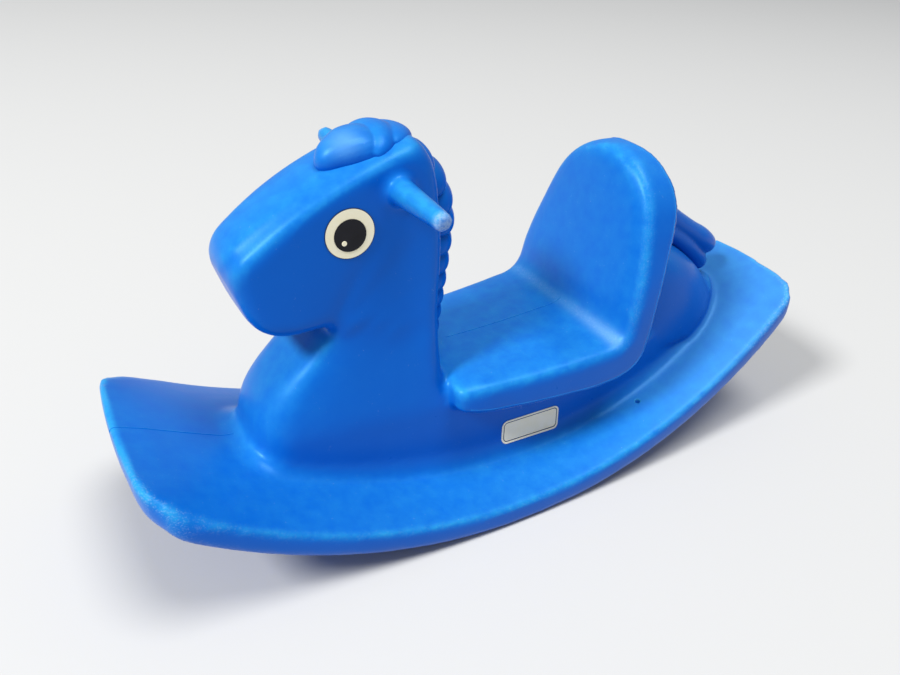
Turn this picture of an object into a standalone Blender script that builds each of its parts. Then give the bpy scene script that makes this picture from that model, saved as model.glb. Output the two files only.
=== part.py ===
"""A child's rocking horse: one hollow plastic moulding, held here as the zones of its wall.

The horse faces -X and rocks about the Y axis. The floor is at z = 0 and the origin lies
on it, under the middle of the rocker board.
"""

import math

import bmesh
import bpy
from mathutils import Vector

# The moulding. A hollow runs out past the open end of its zone.
WALL = 0.0032
GAP = 0.0003
REST_GAP = 0.0006
RUN_OUT = 2 * WALL
SMALLEST_EDGE = 0.0008

# How finely the skins are divided
MERGE_DISTANCE = 1e-6
SHARP_DEGREES = 40
EDGE_DEGREES = (0, 30, 60, 90)
FACE_SHARES = (0.0, 0.4, 0.75)
LINE_PIECES = 8

# Rocker board
LENGTH = 0.835
WIDEST_X = -0.030
MID_HALF_WIDTH = 0.151
FRONT_HALF_WIDTH = 0.1225
TAIL_HALF_WIDTH = 0.113
BOARD_THICKNESS = 0.029
BOARD_CROWN = 0.009
BOARD_TOP_EDGE = 0.013
BOARD_LOW_EDGE = 0.010
BOARD_CORNER = 0.027
BOARD_END_BOW = 0.0085
BOARD_BOW_REACH = 3 * BOARD_CORNER
BOARD_ROWS = 30
BOARD_CORNER_ROWS = (0.0, 0.45, 0.8, 1.0)
BOARD_SHARES = (-1, -0.9, -0.78, -0.42, 0, 0.42, 0.78, 0.9, 1)
ROCK_RADIUS = 0.676
REST_X = -0.0155
REST_FLAT = 0.060
VENT_X = 0.1755
VENT_Y = -0.0897
VENT_DIAMETER = 0.003
VENT_SIDES = 10

# Barrel of the body. Its plan gives x and half width, from the rump round to the chest.
# Its waist is a line through (x, z), and towards the tail through (x, height over the deck).
BARREL_PLAN = ((0.3590, 0.0), (0.3565, 0.0130), (0.3495, 0.0250), (0.3325, 0.0430),
               (0.2955, 0.0570), (0.2365, 0.0675), (0.1665, 0.0745), (0.0900, 0.0795),
               (0.0000, 0.0800), (-0.1000, 0.0770), (-0.1600, 0.0725), (-0.2100, 0.0685),
               (-0.2520, 0.0620), (-0.2740, 0.0520), (-0.2860, 0.0380), (-0.2920, 0.0200),
               (-0.2945, 0.0))
BARREL_LEAN = 0.005
BARREL_FLARE = 0.007
BARREL_POINTS = 56
BARREL_LEVELS = (0.0, 0.05, 0.12, 0.25, 0.6, 1.0)
FLARE_SHARE = 0.25
WAIST = ((-0.34, 0.136), (-0.13, 0.136), (-0.098, 0.1352), (-0.080, 0.1306), (-0.065, 0.1280),
         (-0.02, 0.1238), (0.038, 0.1224), (0.096, 0.1240), (0.16, 0.131))
WAIST_OVER_DECK = ((0.25, 0.0538), (0.36, 0.0129))

# Neck and head, as stations that fan round the throat. A station gives its throat-side
# point, its mane-side point (x, z), its half width and the radius of its mane-side edges.
# A neck station adds the depth over which its section widens the way the barrel's front does.
HEAD_THROAT_EDGE = 0.012
HEAD_CROWN = 0.009
THROAT_CROWN = 0.002
NECK_DEPTH = 0.200
NECK_SHARES = (0.0, 0.012, 0.04, 0.09, 0.18, 0.36, 0.64, 1.0)
NECK_STATIONS = (
    ((-0.2895, 0.1368), (-0.079, 0.1368), 0.0735, 0.014, 0.200),
    ((-0.2910, 0.1550), (-0.086, 0.1600), 0.0670, 0.022, 0.200),
    ((-0.2850, 0.1740), (-0.089, 0.1900), 0.0620, 0.028, 0.190),
    ((-0.2640, 0.1960), (-0.090, 0.2150), 0.0585, 0.028, 0.160),
    ((-0.2400, 0.2170), (-0.090, 0.2380), 0.0560, 0.028, 0.120),
    ((-0.2180, 0.2330), (-0.089, 0.2600), 0.0540, 0.028, 0.080),
)
HEAD_STATIONS = (
    ((-0.2010, 0.2390), (-0.087, 0.2850), 0.0525, 0.026),
    ((-0.2015, 0.2415), (-0.086, 0.3200), 0.0510, 0.024),
    ((-0.2035, 0.2425), (-0.092, 0.3520), 0.0500, 0.022),
    ((-0.2060, 0.2430), (-0.103, 0.3820), 0.0500, 0.020),
    ((-0.2090, 0.2430), (-0.126, 0.4030), 0.0500, 0.018),
    ((-0.2150, 0.2430), (-0.158, 0.4020), 0.0500, 0.016),
    ((-0.2250, 0.2430), (-0.195, 0.3890), 0.0500, 0.015),
    ((-0.2380, 0.2425), (-0.227, 0.3735), 0.0495, 0.015),
    ((-0.2520, 0.2430), (-0.255, 0.3575), 0.0485, 0.015),
    ((-0.2650, 0.2465), (-0.278, 0.3420), 0.0470, 0.015),
    ((-0.2765, 0.2540), (-0.2925, 0.3300), 0.0445, 0.015),
    ((-0.2850, 0.2650), (-0.2995, 0.3180), 0.0390, 0.015),
    ((-0.2900, 0.2775), (-0.3005, 0.3060), 0.0300, 0.012),
)
HEAD_SIDE = HEAD_STATIONS[3][2]

# Seat and seat back. A station gives its top-side point, its underside point (x, z)
# and its half width.
SEAT_EDGE = 0.0125
SEAT_UNDER_EDGE = 0.006
SEAT_CROWN = 0.006
SEAT_OPENING_RISE = 2.5 * WALL
SEAT_OPENING_SHOULDER = 4 * WALL
NECK_NOTCH_DEPTH = 4 * WALL
SEAT_STATIONS = (
    ((-0.0865, 0.1520), (-0.0865, 0.1390), 0.0850),
    ((-0.0850, 0.1560), (-0.0850, 0.1350), 0.0905),
    ((-0.0805, 0.1590), (-0.0805, 0.1318), 0.0950),
    ((-0.0700, 0.1608), (-0.0700, 0.1294), 0.0985),
    ((-0.0200, 0.1630), (-0.0200, 0.1246), 0.1045),
    ((0.0350, 0.1660), (0.0380, 0.1232), 0.1098),
    ((0.0850, 0.1705), (0.0960, 0.1250), 0.1140),
    ((0.1020, 0.1725), (0.1230, 0.1300), 0.1152),
    ((0.1115, 0.1760), (0.1390, 0.1390), 0.1160),
    ((0.1175, 0.1815), (0.1500, 0.1530), 0.1160),
    ((0.1215, 0.1900), (0.1555, 0.1710), 0.1150),
    ((0.1260, 0.2150), (0.1610, 0.2050), 0.1130),
    ((0.1325, 0.2450), (0.1695, 0.2400), 0.1080),
    ((0.1385, 0.2750), (0.1795, 0.2710), 0.0995),
    ((0.1435, 0.3020), (0.1890, 0.2980), 0.0910),
    ((0.1470, 0.3230), (0.1950, 0.3185), 0.0820),
    ((0.1500, 0.3400), (0.1965, 0.3360), 0.0700),
    ((0.1525, 0.3530), (0.1955, 0.3495), 0.0555),
    ((0.1560, 0.3625), (0.1925, 0.3605), 0.0395),
    ((0.1612, 0.3685), (0.1865, 0.3680), 0.0225),
)

# Rump behind the seat back, as levels: height over the waist at its rear end, rear end,
# half width. The lowest one follows the waist all round.
RUMP_FRONT = 0.145
RUMP_LEVELS = (
    (0.0, 0.3500, 0.0745),
    (0.0046, 0.3370, 0.0730),
    (0.0339, 0.3160, 0.0705),
    (0.0561, 0.2950, 0.0675),
    (0.0769, 0.2710, 0.0625),
    (0.0936, 0.2470, 0.0555),
    (0.1058, 0.2250, 0.0460),
    (0.1136, 0.2050, 0.0330),
)
RUMP_BLUNTNESS = 2.2
RUMP_SIDES = 32

# Hair. A lobe of the forelock gives its centre and its radii. A lock of the tail gives
# points (x, height over the waist) and its radius.
HAIR_GAP = 0.0008
MANE_LOCKS = 13
MANE_POINTS = ((-0.0860, 0.178), (-0.0825, 0.215), (-0.0785, 0.255), (-0.0740, 0.295),
               (-0.0720, 0.326), (-0.0780, 0.352), (-0.0940, 0.378), (-0.1180, 0.398))
MANE_LOW_HALF_WIDTH = 0.021
MANE_TOP_HALF_WIDTH = 0.031
MANE_DEPTH = 0.019
MANE_GROOVE = 0.28
MANE_GROOVE_BLUNTNESS = 0.6
MANE_CROWDING = 1.2
MANE_SIDE_SHARE = 0.4
LOCK_RINGS = 4
LOCK_SIDES = 14
FORELOCK_LOBES = (
    ((-0.1750, -0.0095, 0.4040), (0.0290, 0.0260, 0.0200)),
    ((-0.1620, -0.0040, 0.4050), (0.0205, 0.0325, 0.0203)),
    ((-0.1280, 0.0000, 0.4065), (0.0240, 0.0345, 0.0198)),
)
FORELOCK_TILTS = (21.0, 14.0, 3.0)
LOBE_SIDES = 16
LOBE_RINGS = 10
TAIL_LOCKS = (
    ((0.170, 0.1671), (0.235, 0.1449), (0.300, 0.0931), (0.3455, 0.0504), 0.0150),
    ((0.170, 0.1391), (0.235, 0.1169), (0.294, 0.0713), (0.3380, 0.0224), 0.0145),
)
TAIL_SIDE_RATIO = 1.15
TAIL_ROOT_SHARE = 0.86
TAIL_TIP_SHARES = ((0.5, 0.87), (0.87, 0.5), (1.0, 0.12))

# Hand grips through the head
GRIP_X = -0.1375
GRIP_Z = 0.3760
GRIP_REACH = 0.135
GRIP_ROOT_RADIUS = 0.0130
GRIP_TIP_RADIUS = 0.0090
GRIP_FLARE = 0.0025
GRIP_TIP_EDGE = 0.0025
GRIP_SIDES = 16

# Stickers
STICKER_THICKNESS = 0.0005
DISC_SIDES = 28
EYE_X = -0.1880
EYE_Z = 0.3420
EYE_RADIUS = 0.0248
PUPIL_RADIUS = 0.0160
PUPIL_DROP = 0.0015
GLINT_RADIUS = 0.0025
GLINT_DX = -0.0062
GLINT_DZ = -0.0066
LABEL_X = 0.0235
LABEL_Z = 0.0720
LABEL_LENGTH = 0.080
LABEL_HEIGHT = 0.031
LABEL_CORNER = 0.006
LABEL_GAP = 0.0008
LABEL_COLUMNS = 14
LABEL_ROWS = 6


def clear_scene():
    for old in list(bpy.data.objects):
        bpy.data.objects.remove(old, do_unlink=True)


def plastic(name, colour, roughness):
    """A Principled material, with its viewport colour to match."""
    found = bpy.data.materials.get(name)
    if found:
        return found
    made = bpy.data.materials.new(name)
    made.use_nodes = True
    made.diffuse_color = (*colour, 1.0)
    shader = made.node_tree.nodes["Principled BSDF"]
    shader.inputs["Base Color"].default_value = (*colour, 1.0)
    shader.inputs["Roughness"].default_value = roughness
    shader.inputs["Metallic"].default_value = 0.0
    return made


def blue_plastic():
    return plastic("blue_polyethylene", (0.0, 0.159, 0.708), 0.38)


def cream_vinyl():
    return plastic("cream_vinyl", (0.84, 0.76, 0.58), 0.35)


def black_vinyl():
    return plastic("black_vinyl", (0.008, 0.008, 0.012), 0.3)


def mesh_object(name, points, faces, material):
    """A named object from points and faces, its faces turned outwards and shaded smooth."""
    mesh = bpy.data.meshes.new(name)
    mesh.from_pydata([tuple(p) for p in points], [], faces)
    shape = bmesh.new()
    shape.from_mesh(mesh)
    bmesh.ops.remove_doubles(shape, verts=shape.verts, dist=MERGE_DISTANCE)
    bmesh.ops.recalc_face_normals(shape, faces=shape.faces)
    shape.to_mesh(mesh)
    shape.free()
    mesh.shade_smooth()
    mesh.set_sharp_from_angle(angle=math.radians(SHARP_DEGREES))
    made = bpy.data.objects.new(name, mesh)
    made.data.materials.append(material)
    bpy.context.scene.collection.objects.link(made)
    return made


def helper(made):
    """Marks an object as a cutter or a shape that another one takes in."""
    made.hide_render = True
    made.display_type = "WIRE"
    return made


def combine(target, others, operation):
    for other in others:
        modifier = target.modifiers.new(f"{operation.lower()}_{other.name}", "BOOLEAN")
        modifier.operation = operation
        modifier.solver = "EXACT"
        modifier.object = helper(other)


def loft(name, rings, material):
    """A closed skin over rings of equal length, capped at both ends.

    Its faces are triangles, so that a grown copy of a skin is split the same way.
    """
    count = len(rings[0])
    points = [point for ring in rings for point in ring]
    faces = []
    for i in range(len(rings) - 1):
        for j in range(count):
            k = (j + 1) % count
            here, above = i * count, (i + 1) * count
            faces.append((here + j, here + k, above + k))
            faces.append((here + j, above + k, above + j))
    faces.append(tuple(range(count)))
    faces.append(tuple((len(rings) - 1) * count + j for j in range(count)))
    return mesh_object(name, points, faces, material)


def smooth_line(points):
    """The points of a Catmull-Rom curve through the given ones, ends included."""
    knots = [Vector(p) for p in points]
    knots = [2 * knots[0] - knots[1], *knots, 2 * knots[-1] - knots[-2]]
    line = []
    for a, b, c, d in zip(knots, knots[1:], knots[2:], knots[3:]):
        for step in range(LINE_PIECES):
            t = step / LINE_PIECES
            line.append(0.5 * (2 * b + (c - a) * t + (2 * a - 5 * b + 4 * c - d) * t * t
                               + (3 * b - a - 3 * c + d) * t ** 3))
    line.append(knots[-2])
    return line


def height_on(knots, x):
    """The height at x of a smooth line through (x, z) knots."""
    for i in range(1, len(knots)):
        if x <= knots[i][0] or i == len(knots) - 1:
            break
    (x0, z0), (x1, z1) = knots[i - 1], knots[i]
    before = knots[i - 2] if i > 1 else knots[i - 1]
    after = knots[i + 1] if i + 1 < len(knots) else knots[i]
    slope0 = (z1 - before[1]) / (x1 - before[0])
    slope1 = (after[1] - z0) / (after[0] - x0)
    t = (x - x0) / (x1 - x0)
    span = x1 - x0
    return ((2 * t ** 3 - 3 * t ** 2 + 1) * z0 + (t ** 3 - 2 * t ** 2 + t) * span * slope0
            + (3 * t ** 2 - 2 * t ** 3) * z1 + (t ** 3 - t ** 2) * span * slope1)


def arc_height(x):
    """Height of the board's underside: the rocking arc, with its lowest stretch made flat."""
    offset = x - REST_X
    flat = ROCK_RADIUS - math.sqrt(ROCK_RADIUS ** 2 - (REST_FLAT / 2) ** 2)
    return max(0.0, ROCK_RADIUS - math.sqrt(ROCK_RADIUS ** 2 - offset ** 2) - flat)


def upright(x, thickness):
    """The vertical height that a thickness square to the rocking arc takes at x."""
    offset = x - REST_X
    return thickness * ROCK_RADIUS / math.sqrt(ROCK_RADIUS ** 2 - offset ** 2)


def board_half_width(x):
    """Half the board's width at x. It narrows in a curve from its widest place to each end."""
    end, half = (LENGTH / 2, TAIL_HALF_WIDTH) if x > WIDEST_X else (-LENGTH / 2, FRONT_HALF_WIDTH)
    share = (x - WIDEST_X) / (end - WIDEST_X)
    return MID_HALF_WIDTH - (MID_HALF_WIDTH - half) * share ** 2


def deck_height(x, y):
    """Height of the board's top face, which is highest on the centre plane."""
    rim = board_half_width(x) - BOARD_TOP_EDGE
    crown = BOARD_CROWN * max(0.0, 1 - (y / rim) ** 2)
    return arc_height(x) + upright(x, BOARD_THICKNESS) + crown


def waist_height(x):
    """Height where the barrel ends and the neck, the seat and the rump begin."""
    tail = [(place, deck_height(place, 0) + rise) for place, rise in WAIST_OVER_DECK]
    return height_on([*WAIST, *tail], x)


def board_rows(inset):
    """The x of each row of points along the board, closer together at its corners."""
    reach = LENGTH / 2 - inset
    inner = reach - BOARD_CORNER
    middle = LENGTH / 2 - BOARD_CORNER - BOARD_TOP_EDGE - WALL
    flats = [REST_X - REST_FLAT / 2, REST_X + REST_FLAT / 2]
    step = 2 * middle / BOARD_ROWS
    even = [-middle + step * i for i in range(BOARD_ROWS + 1)]
    even = [x for x in even if min(abs(x - flat) for flat in flats) > step / 2]
    corner = [inner + share * (reach - inner) for share in BOARD_CORNER_ROWS]
    return sorted([*even, *flats, *corner, *(-x for x in corner)])


def board_point(row, share, inset):
    """The plan position of a board point, its corner rounded and its end bowed."""
    reach = LENGTH / 2 - inset
    half = board_half_width(row) - inset
    x, y = row, share * half
    over_x = max(0.0, abs(x) - (reach - BOARD_CORNER))
    over_y = max(0.0, abs(y) - (half - BOARD_CORNER))
    if over_x > 0 and over_y > 0:
        pull = max(over_x, over_y) / math.hypot(over_x, over_y)
        x -= math.copysign(over_x * (1 - pull), x)
        y -= math.copysign(over_y * (1 - pull), y)
    bow = max(0.0, (abs(row) - reach + BOARD_BOW_REACH) / BOARD_BOW_REACH)
    x -= math.copysign(BOARD_END_BOW * share ** 2 * bow ** 2, x)
    return x, y


def board_skin(name, inset):
    """The rocker board's closed skin, its faces moved inwards by an inset."""
    low, top = BOARD_LOW_EDGE - inset, BOARD_TOP_EDGE - inset
    layers = [(inset + low * (1 - math.sin(a)), inset + low * (1 - math.cos(a)))
              for a in (0, math.pi / 4, math.pi / 2)]
    layers += [(inset + top * (1 - math.cos(a)),
                BOARD_THICKNESS - inset - top * (1 - math.sin(a)))
               for a in (0, math.pi / 6, math.pi / 3, math.pi / 2)]
    points, faces, grids = [], [], []
    for number, (edge, depth) in enumerate(layers):
        rows = board_rows(edge)
        grid = {}
        for i, row in enumerate(rows):
            for j, share in enumerate(BOARD_SHARES):
                inner = 0 < i < len(rows) - 1 and 0 < j < len(BOARD_SHARES) - 1
                if inner and 0 < number < len(layers) - 1:
                    continue
                x, y = board_point(row, share, edge)
                z = arc_height(x) + upright(x, depth)
                if number == len(layers) - 1:
                    z += BOARD_CROWN * (1 - share ** 2)
                grid[i, j] = len(points)
                points.append((x, y, z))
        grids.append(grid)
    last_row, last_share = len(board_rows(0)) - 1, len(BOARD_SHARES) - 1
    border = [(i, 0) for i in range(last_row)]
    border += [(last_row, j) for j in range(last_share)]
    border += [(i, last_share) for i in range(last_row, 0, -1)]
    border += [(0, j) for j in range(last_share, 0, -1)]
    for below, above in zip(grids, grids[1:]):
        for a, b in zip(border, border[1:] + border[:1]):
            faces.append((below[a], below[b], above[b], above[a]))
    for grid in (grids[0], grids[-1]):
        for i in range(last_row):
            for j in range(last_share):
                faces.append((grid[i, j], grid[i + 1, j], grid[i + 1, j + 1], grid[i, j + 1]))
    return mesh_object(name, points, faces, blue_plastic())


def oval(front, rear, half_width, bluntness, count):
    """Points of a blunt oval in plan, from its rear end and back to it."""
    middle, reach = (front + rear) / 2, (rear - front) / 2
    outline = []
    for k in range(count):
        angle = 2 * math.pi * k / count
        cosine, sine = math.cos(angle), math.sin(angle)
        x = middle + reach * math.copysign(abs(cosine) ** (2 / bluntness), cosine)
        y = half_width * math.copysign(abs(sine) ** (2 / bluntness), sine)
        outline.append((x, y))
    return outline


def barrel_side_line():
    """Evenly spaced points of the barrel's plan on one side, from the rump to the chest."""
    first, last = BARREL_PLAN[1], BARREL_PLAN[-2]
    knots = [(first[0], -first[1]), *BARREL_PLAN, (last[0], -last[1])]
    fine = smooth_line([(x, y, 0) for x, y in knots])[LINE_PIECES:-LINE_PIECES]
    reached = [0.0]
    for a, b in zip(fine, fine[1:]):
        reached.append(reached[-1] + (b - a).length)
    line = []
    count = BARREL_POINTS // 2
    i = 1
    for k in range(count + 1):
        place = reached[-1] * k / count
        while i < len(fine) - 1 and reached[i] < place:
            i += 1
        share = (place - reached[i - 1]) / (reached[i] - reached[i - 1])
        point = fine[i - 1].lerp(fine[i], share)
        line.append((point.x, 0.0 if k in (0, count) else point.y))
    return line


def barrel_grow(share):
    """How far the barrel's outer face stands outside its plan at a share of its height."""
    return BARREL_FLARE * (1 - min(max(share, 0) / FLARE_SHARE, 1)) ** 2 - BARREL_LEAN * share


def grown_side(grow):
    """The barrel's side line scaled about its middle, so that it stands out by a distance."""
    line = barrel_side_line()
    rear, front = line[0][0], line[-1][0]
    middle, reach = (rear + front) / 2, (rear - front) / 2
    half = max(y for _, y in line)
    return [(middle + (x - middle) * (1 + grow / reach), y * (1 + grow / half)) for x, y in line]


def barrel_outline(share, inset):
    """The barrel's outline in plan at a share of its height, from the foot to the waist."""
    line = grown_side(barrel_grow(share) - inset)
    return line + [(x, -y) for x, y in reversed(line[1:-1])]


def width_at(line, x):
    """Half width at x between the points of a side line that runs from rear to front."""
    for (x1, y1), (x0, y0) in zip(line, line[1:]):
        if x >= x0:
            return y0 + (y1 - y0) * min((x - x0) / (x1 - x0), 1)
    return 0.0


def barrel_ring(share, inset):
    ring = []
    for x, y in barrel_outline(share, inset):
        foot = deck_height(x, y) + REST_GAP
        ring.append((x, y, foot + share * (waist_height(x) - foot)))
    return ring


def make_body_shell():
    """The barrel of the body: a wall round its oval, open at the board and at the waist."""
    outer = [barrel_ring(share, 0) for share in BARREL_LEVELS]
    inner = [barrel_ring(share, WALL) for share in (1.0, FLARE_SHARE)]
    inner += [barrel_ring(0.0, BARREL_FLARE + WALL)]
    rings = outer + inner
    count = BARREL_POINTS
    points = [point for ring in rings for point in ring]
    faces = []
    for i in range(len(rings)):
        after = (i + 1) % len(rings)
        for j in range(count):
            k = (j + 1) % count
            faces.append((i * count + j, i * count + k, after * count + k, after * count + j))
    mesh_object("body_shell", points, faces, blue_plastic())


def footprint_cutter(name, low, high, inset):
    """A block with the barrel's oval outline, between two height functions."""
    outline = barrel_outline(FLARE_SHARE, inset)
    rings = [[(x, y, low(x, y)) for x, y in outline], [(x, y, high(x, y)) for x, y in outline]]
    count = BARREL_POINTS
    points = rings[0] + rings[1]
    faces = [(j, (j + 1) % count, count + (j + 1) % count, count + j) for j in range(count)]
    for start in (0, count):
        for j in range(count // 2):
            mirror, beyond = (count - j) % count, (count - j - 1) % count
            face = [start + j, start + j + 1, start + beyond, start + mirror]
            faces.append(tuple(dict.fromkeys(face)))
    return mesh_object(name, points, faces, blue_plastic())


def make_rocker_base():
    """The hollow board, open under the barrel, with a vent hole in its deck."""
    board = board_skin("rocker_base", 0)
    hollow = board_skin("board_hollow", WALL)
    foot = footprint_cutter(
        "board_opening",
        lambda x, y: arc_height(x) + upright(x, BOARD_THICKNESS / 2),
        lambda x, y: deck_height(x, y) + BOARD_THICKNESS,
        WALL + REST_GAP)
    vent = round_bar("vent_hole",
                     [(VENT_X, VENT_Y, arc_height(VENT_X) + upright(VENT_X, BOARD_THICKNESS / 2)),
                      (VENT_X, VENT_Y, deck_height(VENT_X, VENT_Y) + BOARD_THICKNESS)],
                     [VENT_DIAMETER / 2] * 2, VENT_SIDES, blue_plastic())
    combine(board, [hollow, foot, vent], "DIFFERENCE")


def section(near, far, grow):
    """The start, direction and length of a station's section, grown at both ends."""
    start, end = Vector((near[0], 0, near[1])), Vector((far[0], 0, far[1]))
    along = (end - start).normalized()
    return start - along * grow, along, (end - start).length + 2 * grow


def far_side(width, height, edge, crown):
    """The far half of a section's side: a round edge, then a face that rises to the centre."""
    side = []
    for angle in EDGE_DEGREES:
        a = math.radians(angle)
        side.append((width - edge + edge * math.cos(a), height - edge + edge * math.sin(a)))
    for share in reversed(FACE_SHARES):
        v = share * (width - edge)
        side.append((v, height + crown * (1 - (v / width) ** 2)))
    return side


def whole_ring(start, along, side):
    """A section's ring from the points of its side, mirrored across the centre plane."""
    whole = side + [(-v, h) for v, h in reversed(side[1:-1])]
    return [start + along * h + Vector((0, v, 0)) for v, h in whole]


def edge_radius(edge, width, height):
    return max(min(edge, width * 0.98, height * 0.48), SMALLEST_EDGE)


def station_ring(near, far, half_width, near_edge, far_edge, crowns, grow):
    """A rounded rectangle across the body, between a near and a far point in side view.

    crowns are how far the near and far faces rise at the centre plane.
    """
    start, along, height = section(near, far, grow)
    width = half_width + grow
    low = edge_radius(near_edge + grow, width, height)
    high = edge_radius(far_edge + grow, width, height)
    side = []
    for share in FACE_SHARES:
        v = share * (width - low)
        side.append((v, -crowns[0] * (1 - (v / width) ** 2)))
    for angle in EDGE_DEGREES:
        a = math.radians(angle)
        side.append((width - low + low * math.sin(a), low - low * math.cos(a)))
    side.append((width, (low + height - high) / 2))
    return whole_ring(start, along, side + far_side(width, height, high, crowns[1]))


def neck_ring(near, far, half_width, far_edge, widening, grow):
    """A section of the neck: blunt towards the chest like the barrel, square at the mane."""
    start, along, height = section(near, far, grow)
    high = edge_radius(far_edge + grow, half_width + grow, height)
    line = barrel_side_line()
    front = line[-1][0]
    full = width_at(line, front + NECK_DEPTH)
    side = []
    for share in NECK_SHARES:
        h = share * (height - high)
        depth = min(h / (widening + grow), 1) * NECK_DEPTH
        side.append(((half_width + grow) * width_at(line, front + depth) / full, h))
    return whole_ring(start, along, side + far_side(side[-1][0], height, high, 0))


def neck_and_head_skin(name, grow, sunk):
    """The neck and head's closed skin, its faces moved outwards, its foot sunk by a depth."""
    rings = []
    if sunk:
        near, far, *rest = NECK_STATIONS[0]
        rings.append(neck_ring((near[0], near[1] - sunk), (far[0], far[1] - sunk), *rest, grow))
    for station in NECK_STATIONS:
        rings.append(neck_ring(*station, grow))
    for near, far, half, edge in HEAD_STATIONS:
        crowns = (THROAT_CROWN, HEAD_CROWN)
        rings.append(station_ring(near, far, half, HEAD_THROAT_EDGE, edge, crowns, grow))
    if grow < 0:
        rings = rings[:-1]
    return loft(name, rings, blue_plastic())


def make_head_shell():
    """The neck and head, hollow and open at the waist."""
    head = neck_and_head_skin("head_shell", 0, 0)
    combine(head, [neck_and_head_skin("head_hollow", -WALL, RUN_OUT)], "DIFFERENCE")


def seat_skin(name, grow):
    """The seat and its back as one closed, bent slab with rolled edges."""
    rings = []
    for near, far, half in SEAT_STATIONS:
        rings.append(station_ring(near, far, half, SEAT_EDGE, SEAT_UNDER_EDGE, (SEAT_CROWN, 0),
                                  grow))
    if grow < 0:
        rings = rings[2:-2]
    return loft(name, rings, blue_plastic())


def make_seat_shell():
    """The seat and its back, hollow, open underneath, with a notch for the neck."""
    seat = seat_skin("seat_shell", 0)
    hollow = seat_skin("seat_hollow", -WALL)
    opening = footprint_cutter("seat_opening", lambda x, y: waist_height(x) - WALL,
                               lambda x, y: waist_height(x) + SEAT_OPENING_RISE,
                               SEAT_OPENING_SHOULDER)
    neck = neck_and_head_skin("neck_notch", GAP, NECK_NOTCH_DEPTH)
    combine(seat, [hollow, opening, neck], "DIFFERENCE")


def rump_skin(name, inset, sunk):
    """The rump's closed skin, its faces moved inwards, its foot sunk by a depth."""
    rings = []
    levels = list(RUMP_LEVELS)
    if sunk:
        levels = [(-sunk, *RUMP_LEVELS[0][1:]), *levels[:-1]]
    for height, rear, half in levels:
        outline = oval(RUMP_FRONT + inset, rear - inset, half - inset, RUMP_BLUNTNESS, RUMP_SIDES)
        if height > 0:
            level = waist_height(rear) + height - inset
            rings.append([(x, y, level) for x, y in outline])
        else:
            rings.append([(x, y, waist_height(x) + REST_GAP + height) for x, y in outline])
    return loft(name, rings, blue_plastic())


def make_rump_shell():
    """The rump behind the seat back, hollow and open at the waist."""
    rump = rump_skin("rump_shell", 0, 0)
    hollow = rump_skin("rump_hollow", WALL, RUN_OUT)
    clear = seat_skin("rump_seat_clearance", GAP)
    combine(rump, [hollow, clear], "DIFFERENCE")


def round_bar(name, path, radii, sides, material, flat=1.0):
    """A tube of changing radius along points, its section stretched along Y by a factor."""
    path = [Vector(p) for p in path]
    rings = []
    for i, point in enumerate(path):
        ahead = path[min(i + 1, len(path) - 1)] - path[max(i - 1, 0)]
        along = ahead.normalized()
        across = Vector((1, 0, 0)) if abs(along.y) > 0.9 else Vector((0, 1, 0))
        up = along.cross(across).normalized()
        across = up.cross(along).normalized()
        ring = []
        for k in range(sides):
            a = 2 * math.pi * k / sides
            offset = across * (math.cos(a) * flat) + up * math.sin(a)
            ring.append(point + offset * radii[i])
        rings.append(ring)
    return loft(name, rings, material)


def make_mane():
    """The mane: a ridge down the back of the neck, pinched into swept locks."""
    line = smooth_line([(x, 0, z) for x, z in MANE_POINTS])
    count = MANE_LOCKS * LOCK_RINGS
    rings = []
    for i in range(count + 1):
        share = (i / count) ** MANE_CROWDING
        place = share * (len(line) - 1)
        low = min(int(place), len(line) - 2)
        point = line[low].lerp(line[low + 1], place - low)
        along = (line[low + 1] - line[low]).normalized()
        out = Vector((along.z, 0, -along.x))
        swell = math.sin(math.pi * ((i % LOCK_RINGS) / LOCK_RINGS)) ** MANE_GROOVE_BLUNTNESS
        pinch = 1 - MANE_GROOVE * (1 - swell)
        width = MANE_LOW_HALF_WIDTH + (MANE_TOP_HALF_WIDTH - MANE_LOW_HALF_WIDTH) * share
        width *= 1 - MANE_SIDE_SHARE * (1 - pinch)
        depth = MANE_DEPTH * pinch
        ring = []
        for k in range(LOCK_SIDES):
            a = 2 * math.pi * k / LOCK_SIDES
            offset = out * (depth * math.cos(a)) + Vector((0, width * math.sin(a), 0))
            ring.append(point + offset)
        rings.append(ring)
    mane = loft("mane", rings, blue_plastic())
    combine(mane, [neck_and_head_skin("mane_clearance", HAIR_GAP, 0)], "DIFFERENCE")


def lobe(name, centre, radii, tilt):
    """An egg-shaped lock of hair, tilted nose-down in side view."""
    shape = bmesh.new()
    bmesh.ops.create_uvsphere(shape, u_segments=LOBE_SIDES, v_segments=LOBE_RINGS,
                              radius=1.0)
    turn = math.radians(tilt)
    for vert in shape.verts:
        x, y, z = (vert.co[i] * radii[i] for i in range(3))
        vert.co = Vector((x * math.cos(turn) - z * math.sin(turn), y,
                          x * math.sin(turn) + z * math.cos(turn))) + Vector(centre)
    mesh = bpy.data.meshes.new(name)
    shape.to_mesh(mesh)
    shape.free()
    mesh.shade_smooth()
    made = bpy.data.objects.new(name, mesh)
    made.data.materials.append(blue_plastic())
    bpy.context.scene.collection.objects.link(made)
    return made


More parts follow.
